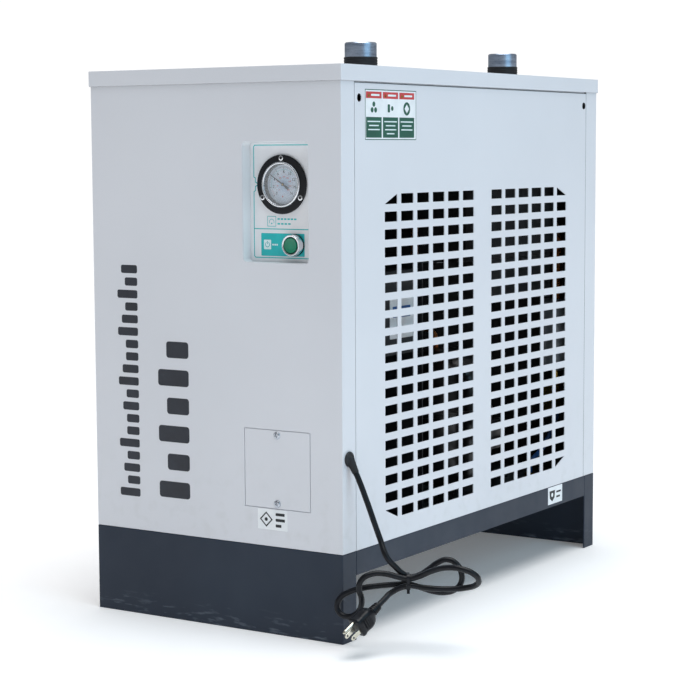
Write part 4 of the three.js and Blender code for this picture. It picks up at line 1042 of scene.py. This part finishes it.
def push_button():
    centre = middle("button_cap")
    seat = Vector((centre.x, high("button_ring").y, centre.z))
    place = facing_front(seat)
    back = seat.y - high("button_body").y
    body = [
        (0, back), (0.0106, back), (0.0108, back + 0.001), (0.0108, -0.0013), (0.0152, -0.0013),
        (0.0152, -0.0004), (0.0146, 0.0006), (0.0126, 0.0010), (0.0126, -0.004), (0.0104, -0.004),
        (0.0104, back + 0.002), (0, back + 0.002),
    ]
    turned("button_socket", body, place, MATERIALS["black"], radius=0.0004, slot="black_plastic",
           replaces=("button_body",))
    ring_front = seat.y - low("button_ring").y
    ring = [
        (0.0124, 0.0002), (0.0146, 0.0002), (0.0147, 0.0040), (0.0145, ring_front - 0.0008),
        (0.0140, ring_front), (0.0119, ring_front - 0.0003), (0.0115, ring_front - 0.0010),
        (0.0115, ring_front - 0.0030), (0.0124, ring_front - 0.0034), (0.0124, 0.0002),
    ]
    turned("button_bezel", ring, place, MATERIALS["chrome"], radius=0.0006, segments=128, slot="chrome",
           replaces=("button_ring",))
    face = seat.y - low("button_cap").y
    rear = seat.y - high("button_cap").y
    cap = [
        (0, rear), (0.0040, rear), (0.0040, face - 0.0072), (0.0101, face - 0.0072), (0.0101, face - 0.0010),
        (0.0096, face - 0.0001), (0.0089, face - 0.0003), (0.0060, face - 0.0006), (0, face - 0.0007),
    ]
    turned("button_push", cap, place, MATERIALS["green"], radius=0.0005, body="push_button",
           slot="button_green", replaces=("button_cap",))


# ---- Printed overlay in the recess ----

def arc_path(x, z, radius, start, stop, step=20):
    """Points along an arc, from start to just before stop, in degrees."""
    turns = [math.radians(a) for a in range(start, stop, step)]
    return [(x + radius * math.cos(t), z + radius * math.sin(t)) for t in turns]


def overlay_print():
    """Teal outlines, a teal field behind the button and two plain symbols, with no lettering."""
    corner_low, corner_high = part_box("control_overlay")
    place = facing_front(Vector((0, corner_low.y, 0)))
    left, right = corner_low.x + 0.0052, corner_high.x - 0.0006
    top, bottom = corner_high.z - 0.0033, corner_low.z + 0.0045
    divider = GAUGE.z - 0.0610
    teal = bmesh.new()
    notch = [(left, GAUGE.z + 0.0100), (left + 0.0024, GAUGE.z + 0.0088), (left + 0.0024, GAUGE.z + 0.0032),
             (left + 0.0060, GAUGE.z + 0.0012)]
    upper = [(right, top), (left + 0.002, top), (left, top - 0.002), (left, GAUGE.z + 0.0100)] + notch[1:]
    lower = [(x, 2 * GAUGE.z - z) for x, z in reversed(notch)]
    lower += [(left, divider + 0.001), (left, bottom + 0.002), (left + 0.002, bottom), (right, bottom)]
    for path in (upper, lower, [(left, divider), (right, divider)]):
        add_band(teal, path, 0.0013, 0, LIFT, place)
    button = middle("button_cap")
    add_plate(teal, left + 0.0115, right - 0.0168 + 0.0005, button.z - 0.0157, button.z + 0.0157, 0, LIFT,
              0.0012, place)
    symbol_x, symbol_z = GAUGE.x - 0.0185, GAUGE.z - 0.0505
    outer, inner = 0.0068, 0.0060
    frame_path = [(symbol_x - inner, symbol_z + outer), (symbol_x + outer, symbol_z + outer),
                  (symbol_x + outer, symbol_z - outer), (symbol_x - outer, symbol_z - outer),
                  (symbol_x - outer, symbol_z + outer), (symbol_x - inner, symbol_z + outer)]
    add_band(teal, frame_path, 0.0008, 0, LIFT, place)
    arc = arc_path(symbol_x, symbol_z - 0.0008, 0.0038, -30, 211)
    add_band(teal, arc, 0.0007, 0, LIFT, place)
    add_prism(teal, circle(0.0011, 20, symbol_x, symbol_z - 0.0030), 0, LIFT, place)
    for row, (start, width) in enumerate(((0.0095, 0.033), (0.0095, 0.0235))):
        z = symbol_z + 0.0033 - row * 0.0066
        dashes = 6 - 2 * row
        step = width / dashes
        for dash in range(dashes):
            x = symbol_x + start + dash * step
            add_plate(teal, x, x + step * 0.74, z - 0.0011, z + 0.0011, 0, LIFT, 0.0006, place)
    put("overlay_teal", mesh_from(teal, "overlay_teal"), MATERIALS["teal"], slot="overlay_film")
    pale = bmesh.new()
    on_field = place @ Matrix.Translation((0, 0, LIFT))
    field_x = left + 0.0115
    add_plate(pale, field_x + 0.0045, field_x + 0.0165, button.z - 0.0066, button.z + 0.0066, 0, LIFT, 0.001,
              on_field)
    for dash in range(3):
        x = field_x + 0.0185 + dash * 0.0034
        add_plate(pale, x, x + 0.0025, button.z - 0.0012, button.z + 0.0012, 0, LIFT, 0.0006, on_field)
    put("overlay_pale", mesh_from(pale, "overlay_pale"), MATERIALS["pale_print"], slot="overlay_film")
    dark = bmesh.new()
    on_tile = on_field @ Matrix.Translation((0, 0, LIFT))
    tile_x = field_x + 0.0105
    add_band(dark, arc_path(tile_x, button.z, 0.0034, 120, 421), 0.0009, 0, LIFT, on_tile)
    add_plate(dark, tile_x - 0.0005, tile_x + 0.0005, button.z + 0.0004, button.z + 0.0048, 0, LIFT,
              place=on_tile)
    put("overlay_symbol", mesh_from(dark, "overlay_symbol"), MATERIALS["teal"], slot="overlay_film")


# ---- Air ports ----

def air_port(name, node_name):
    """A steel socket with a chamfered mouth and its internal thread, standing in a rubber grommet."""
    corner_low, corner_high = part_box(node_name)
    centre = (corner_low + corner_high) / 2
    radius = (corner_high.x - corner_low.x) / 2
    place = upright(Vector((centre.x, centre.y, 0)))
    top = corner_high.z
    bore, depth, pitch = 0.0190, 0.028, 0.0023
    profile = [(0, corner_low.z), (radius, corner_low.z), (radius, top - 0.0016), (radius - 0.0016, top),
               (bore + 0.0019, top), (bore, top - 0.002)]
    turns = int((depth - 0.006) / pitch)
    for turn in range(turns):
        z = top - 0.0028 - turn * pitch
        profile += [(bore, z), (bore + 0.0012, z - pitch * 0.5)]
    profile += [(bore, top - depth + 0.002), (bore - 0.0008, top - depth), (0, top - depth)]
    turned(name, profile, place, MATERIALS["socket"], radius=0.0003, segments=96, slot="socket_steel",
           replaces=(node_name,))
    seal_low, seal_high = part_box(node_name + "_seal")
    inner, outer, groove = radius + 0.0002, radius + 0.0013, radius + 0.0007
    seal = [(inner, seal_low.z), (outer, seal_low.z)]
    ribs = 5
    rise = (seal_high.z - seal_low.z) / ribs
    for rib in range(1, ribs):
        z = seal_low.z + rib * rise
        seal += [(outer, z - 0.0008), (groove, z - 0.0005), (groove, z + 0.0005), (outer, z + 0.0008)]
    seal += [(outer, seal_high.z - 0.0006), (outer - 0.0005, seal_high.z), (inner, seal_high.z),
             (inner, seal_low.z)]
    turned(name + "_grommet", seal, place, MATERIALS["rubber"], radius=0.0003, segments=96, slot="rubber",
           replaces=(node_name + "_seal",))


# ---- Labels, with plain shapes in place of any lettering ----

def label_set(name, place, layers):
    """A label as layers of thin films: each is (finish, thickness level, drawing function)."""
    for index, (finish, level, draw) in enumerate(layers):
        bm = bmesh.new()
        bottom = FILM + (level - 1) * LIFT if level else 0.00002
        top = FILM + level * LIFT
        draw(lambda outline: add_prism(bm, outline, bottom, top, place),
             lambda x0, x1, y0, y1, corner=0.0: add_plate(bm, x0, x1, y0, y1, bottom, top, corner, place))
        put(name + "_" + str(index + 1), mesh_from(bm, name), MATERIALS[finish], slot="overlay_film")


def side_label():
    """Three columns: a red band, a plain symbol and a green panel with pale rules."""
    width, height = 0.1358, 0.0685
    panel = "right_side_panel"
    place = facing_right(Vector((RIGHT, low(panel).y + 0.0262, high(panel).z - 0.0765)))
    margin, column = 0.0022, 0.0438
    starts = [margin + i * column for i in range(3)]
    inset = column - 0.0034

    def paper(prism, plate):
        plate(0.0011, width - 0.0011, 0.0011, height - 0.0011)

    def rim(prism, plate):
        plate(0, width, 0, height, 0.0008)

    def bands(prism, plate):
        for x in starts:
            plate(x, x + inset, height - 0.0122, height - 0.0032)

    def panels(prism, plate):
        for x in starts:
            plate(x, x + inset, 0.0030, 0.0310)

    def symbols(prism, plate):
        y = 0.0432
        for turn in (90, 210, 330):
            angle = math.radians(turn)
            prism(circle(0.0036, 24, starts[0] + inset / 2 + 0.0052 * math.cos(angle),
                         y + 0.0052 * math.sin(angle)))
        plate(starts[1] + inset / 2 - 0.0075, starts[1] + inset / 2 - 0.0015, y - 0.0055, y + 0.0055, 0.001)
        prism(circle(0.0032, 24, starts[1] + inset / 2 + 0.0045, y))
        prism(circle(0.0092, 40, starts[2] + inset / 2, y))

    def symbol_hole(prism, plate):
        prism(circle(0.0062, 4, starts[2] + inset / 2, 0.0432))

    def rules(prism, plate):
        for column_index, x in enumerate(starts):
            for row in range(3 + column_index % 2):
                length = inset * (0.82, 0.62, 0.74, 0.5)[row]
                y = 0.0250 - row * 0.0055
                plate(x + (inset - length) / 2, x + (inset + length) / 2, y - 0.0008, y + 0.0008)
            start = x + 0.0048
            plate(start + 0.0085, start + 0.0300, height - 0.0090, height - 0.0064, 0.001)

    def markers(prism, plate):
        for x in starts:
            left, foot = x + 0.0040, height - 0.0104
            prism([(left, foot), (left + 0.0060, foot), (left + 0.0030, foot + 0.0054)])

    layers = [
        ("label_green", 0, rim), ("label", 1, paper), ("label_red", 2, bands), ("label_green", 2, panels),
        ("label_green", 2, symbols), ("label", 3, symbol_hole), ("pale_print", 3, rules),
        ("brass", 3, markers),
    ]
    label_set("side_label", place, layers)


def supply_label():
    """A small white label below the cover: a plain diamond and three bars."""
    cover = low("access_cover")
    place = facing_front(Vector((cover.x + 0.0212, FRONT, BASE_TOP + 0.0234)))
    width, height = 0.0498, 0.0286

    def paper(prism, plate):
        plate(0, width, 0, height, 0.0006)

    def marks(prism, plate):
        prism(circle(0.0108, 4, 0.0142, height / 2))
        for row in range(3):
            y = height / 2 + 0.0080 - row * 0.0080
            plate(0.0300, 0.0300 + (0.0150, 0.0155, 0.0095)[row], y - 0.0020, y + 0.0020, 0.0008)

    def hole(prism, plate):
        prism(circle(0.0082, 4, 0.0142, height / 2))

    def dot(prism, plate):
        prism(circle(0.0026, 24, 0.0142, height / 2))

    layers = [("label", 0, paper), ("ink", 1, marks), ("label", 2, hole), ("ink", 3, dot)]
    label_set("supply_label", place, layers)


def drain_label():
    """A small white label on the base rail beside the drain: a shield shape and two bars."""
    place = facing_right(Vector((RIGHT, low("rear_panel").y - 0.1315, BASE_TOP - 0.0290)))
    width, height = 0.0515, 0.0282

    def paper(prism, plate):
        plate(0, width, 0, height, 0.0006)

    def marks(prism, plate):
        prism([(0.0050, 0.0218), (0.0250, 0.0218), (0.0235, 0.0100), (0.0150, 0.0042), (0.0065, 0.0100)])
        plate(0.0300, 0.0465, 0.0165, 0.0195, 0.0006)
        plate(0.0300, 0.0430, 0.0085, 0.0115, 0.0006)

    def hole(prism, plate):
        prism(circle(0.0034, 20, 0.0150, 0.0150))

    label_set("drain_label", place, [("label", 0, paper), ("ink", 1, marks), ("label", 2, hole)])


INNER_LABEL_PLACE = Vector((0.190, -0.231, 0.403))


def inner_label():
    """The pale rating card on the electrical box, seen through the slots."""
    place = facing_right(INNER_LABEL_PLACE)

    def paper(prism, plate):
        plate(0, 0.065, 0, 0.063, 0.002)

    def field(prism, plate):
        plate(0.008, 0.057, 0.030, 0.046)

    label_set("box_label", place, [("label", 0, paper), ("hose", 1, field)])


# ---- Front graphic ----

def bar_column(bm, place, edges, foot, bar, space, corner, shares):
    """Rounded bars one above another, flush on the right, each a share of the column's width."""
    left, right = edges
    z = foot
    for share in shares:
        add_plate(bm, right - (right - left) * share, right, z, z + bar, 0, FILM, corner, place)
        z += bar + space


def front_graphic():
    """Two upright columns of plain rounded bars, in place of a printed name."""
    place = facing_front(Vector((0, FRONT, 0)))
    bm = bmesh.new()
    narrow_shares = (
        1.0, 0.62, 0.8, 0.62, 1.0, 0.62, 0.62, 0.8, 0.62, 1.0,
        0.8, 0.62, 0.62, 1.0, 0.8, 0.62, 1.0, 0.62, 0.8,
    )
    bar_column(bm, place, (-0.1705, -0.1340), 0.1725, 0.0118, 0.0062, 0.0028, narrow_shares)
    wide_shares = (1.0, 0.72, 1.0, 0.72, 1.0, 0.72)
    bar_column(bm, place, (-0.0985, -0.0440), 0.1765, 0.0235, 0.0168, 0.0045, wide_shares)
    put("front_graphic", mesh_from(bm, "front_graphic"), MATERIALS["graphic"], slot="overlay_film")


# ---- Inside the cabinet ----

COMPRESSOR_AXIS = Vector((0.115, 0.060, 0))
COMPRESSOR_RADIUS = 0.072


def compressor_seam():
    """The weld seam round the compressor's shell."""
    shell_low, shell_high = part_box("compressor")
    seam_z = shell_low.z + (shell_high.z - shell_low.z) * 0.56
    inner, outer = COMPRESSOR_RADIUS - 0.001, COMPRESSOR_RADIUS + 0.0022
    seam = [(inner, seam_z - 0.0030), (outer, seam_z - 0.0026), (outer, seam_z + 0.0026),
            (inner, seam_z + 0.0030), (inner, seam_z - 0.0030)]
    turned("compressor_seam", seam, upright(COMPRESSOR_AXIS), MATERIALS["compressor"], radius=0.0012,
           slot="compressor_paint")


def fan_wheel():
    """Five twisted, cambered blades on a rounded hub."""
    corner_low, corner_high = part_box("fan_blades")
    centre = Vector(((corner_low.x + corner_high.x) / 2, middle("fan_motor").y, middle("fan_motor").z))
    half = (corner_high.x - corner_low.x) / 2
    hub_radius, tip_radius = 0.032, 0.1185
    bm = bmesh.new()
    hub = [
        (0, -half), (hub_radius - 0.004, -half), (hub_radius, -half + 0.004), (hub_radius, half),
        (0.012, half), (0.010, half - 0.003), (0, half - 0.003),
    ]
    add_turned(bm, rounded(hub, 0.0015), 64)
    spans, chords = 14, 12
    for blade in range(5):
        base = 2 * math.pi * blade / 5
        grid = []
        for i in range(spans + 1):
            share = i / spans
            radius = hub_radius - 0.003 + (tip_radius - hub_radius + 0.003) * share
            near_tip = max(0.0, share - 0.75)
            chord = math.radians(50 - 12 * share) * (1 - 0.35 * near_tip * 4 * near_tip)
            row = []
            for j in range(chords + 1):
                across = j / chords - 0.5
                angle = base + across * chord + 0.22 * share
                lift = half * 0.82 * 2 * across + 0.0022 * (1 - 4 * across * across) * (0.4 + share)
                row.append(Vector((radius * math.cos(angle), radius * math.sin(angle), lift)))
            grid.append(row)
        for offset in (0.0007, -0.0007):
            made = [[bm.verts.new(p + Vector((0, 0, offset))) for p in row] for row in grid]
            for a, b in zip(made, made[1:]):
                for j in range(chords):
                    corners = (a[j], a[j + 1], b[j + 1], b[j])
                    bm.faces.new(corners if offset > 0 else tuple(reversed(corners)))
            if offset > 0:
                upper = made
            else:
                lower = made
        edge_up = upper[0] + [r[-1] for r in upper[1:]] + upper[-1][-2::-1] + [r[0] for r in upper[-2:0:-1]]
        edge_low = lower[0] + [r[-1] for r in lower[1:]] + lower[-1][-2::-1] + [r[0] for r in lower[-2:0:-1]]
        for i in range(len(edge_up)):
            j = (i + 1) % len(edge_up)
            bm.faces.new((edge_up[i], edge_up[j], edge_low[j], edge_low[i]))
    mesh = mesh_from(bm, "fan_wheel", 55)
    mesh.transform(facing_right(centre))
    put("fan_wheel", mesh, MATERIALS["dark_steel"], body="fan_rotor", slot="dark_steel",
        replaces=("fan_blades",))


# ---- Studio ----

def area_light(name, place, aim, size, power, colour=(1.0, 1.0, 1.0)):
    data = bpy.data.lights.new(name, "AREA")
    data.shape = "RECTANGLE"
    data.size, data.size_y = size
    data.energy = power
    data.color = colour
    lamp = bpy.data.objects.new(name, data)
    lamp.location = place
    lamp.rotation_euler = (Vector(aim) - Vector(place)).to_track_quat("-Z", "Y").to_euler()
    bpy.context.scene.collection.objects.link(lamp)


def pale_surround():
    """A world that looks white to the camera and lights the scene softly."""
    world = bpy.data.worlds.new("studio")
    bpy.context.scene.world = world
    world.use_nodes = True
    nodes, links = world.node_tree.nodes, world.node_tree.links
    soft = nodes["Background"]
    soft.inputs["Color"].default_value = (0.96, 0.98, 1.0, 1.0)
    soft.inputs["Strength"].default_value = 0.26
    seen = nodes.new("ShaderNodeBackground")
    seen.inputs["Strength"].default_value = 1.05
    seen.inputs["Color"].default_value = (1.0, 1.0, 1.0, 1.0)
    path = nodes.new("ShaderNodeLightPath")
    mix = nodes.new("ShaderNodeMixShader")
    links.new(path.outputs["Is Camera Ray"], mix.inputs[0])
    links.new(soft.outputs[0], mix.inputs[1])
    links.new(seen.outputs[0], mix.inputs[2])
    links.new(mix.outputs[0], nodes["World Output"].inputs["Surface"])


def studio():
    """A pale floor, an even pale surround, one broad overhead light and a soft cool key on the right."""
    scene = bpy.context.scene
    scene.view_settings.view_transform = "Standard"
    bm = bmesh.new()
    half = 12.0
    corners = ((-half, -half), (half, -half), (half, half), (-half, half))
    bm.faces.new([bm.verts.new((x, y, 0)) for x, y in corners])
    floor = bpy.data.objects.new("studio_floor", mesh_from(bm, "studio_floor"))
    scene.collection.objects.link(floor)
    glow = {"Emission Color": (1.0, 1.0, 1.0, 1.0), "Emission Strength": 0.12}
    floor.data.materials.append(surface("studio_floor", "F6F7F8", "FBFBFC", 0.6, patches=1.2, grain=90,
                                        grain_strength=0.05, sockets=glow))
    pale_surround()
    sky = bpy.data.lights.new("overhead", "SUN")
    sky.energy = 2.6
    sky.angle = math.radians(50)
    lamp = bpy.data.objects.new("overhead", sky)
    lamp.rotation_euler = (0, math.radians(5), 0)
    scene.collection.objects.link(lamp)
    area_light("key", (3.2, -0.6, 1.9), (0.0, 0.0, 0.4), (2.6, 2.2), 31, (0.40, 0.76, 1.0))


darken_inside()
cover_screws()
gauge_housing()
dial_print()
gauge_pointer()
push_button()
overlay_print()
air_port("inlet_socket", "inlet_port")
air_port("outlet_socket", "outlet_port")
side_label()
supply_label()
drain_label()
inner_label()
front_graphic()
compressor_seam()
fan_wheel()
studio()
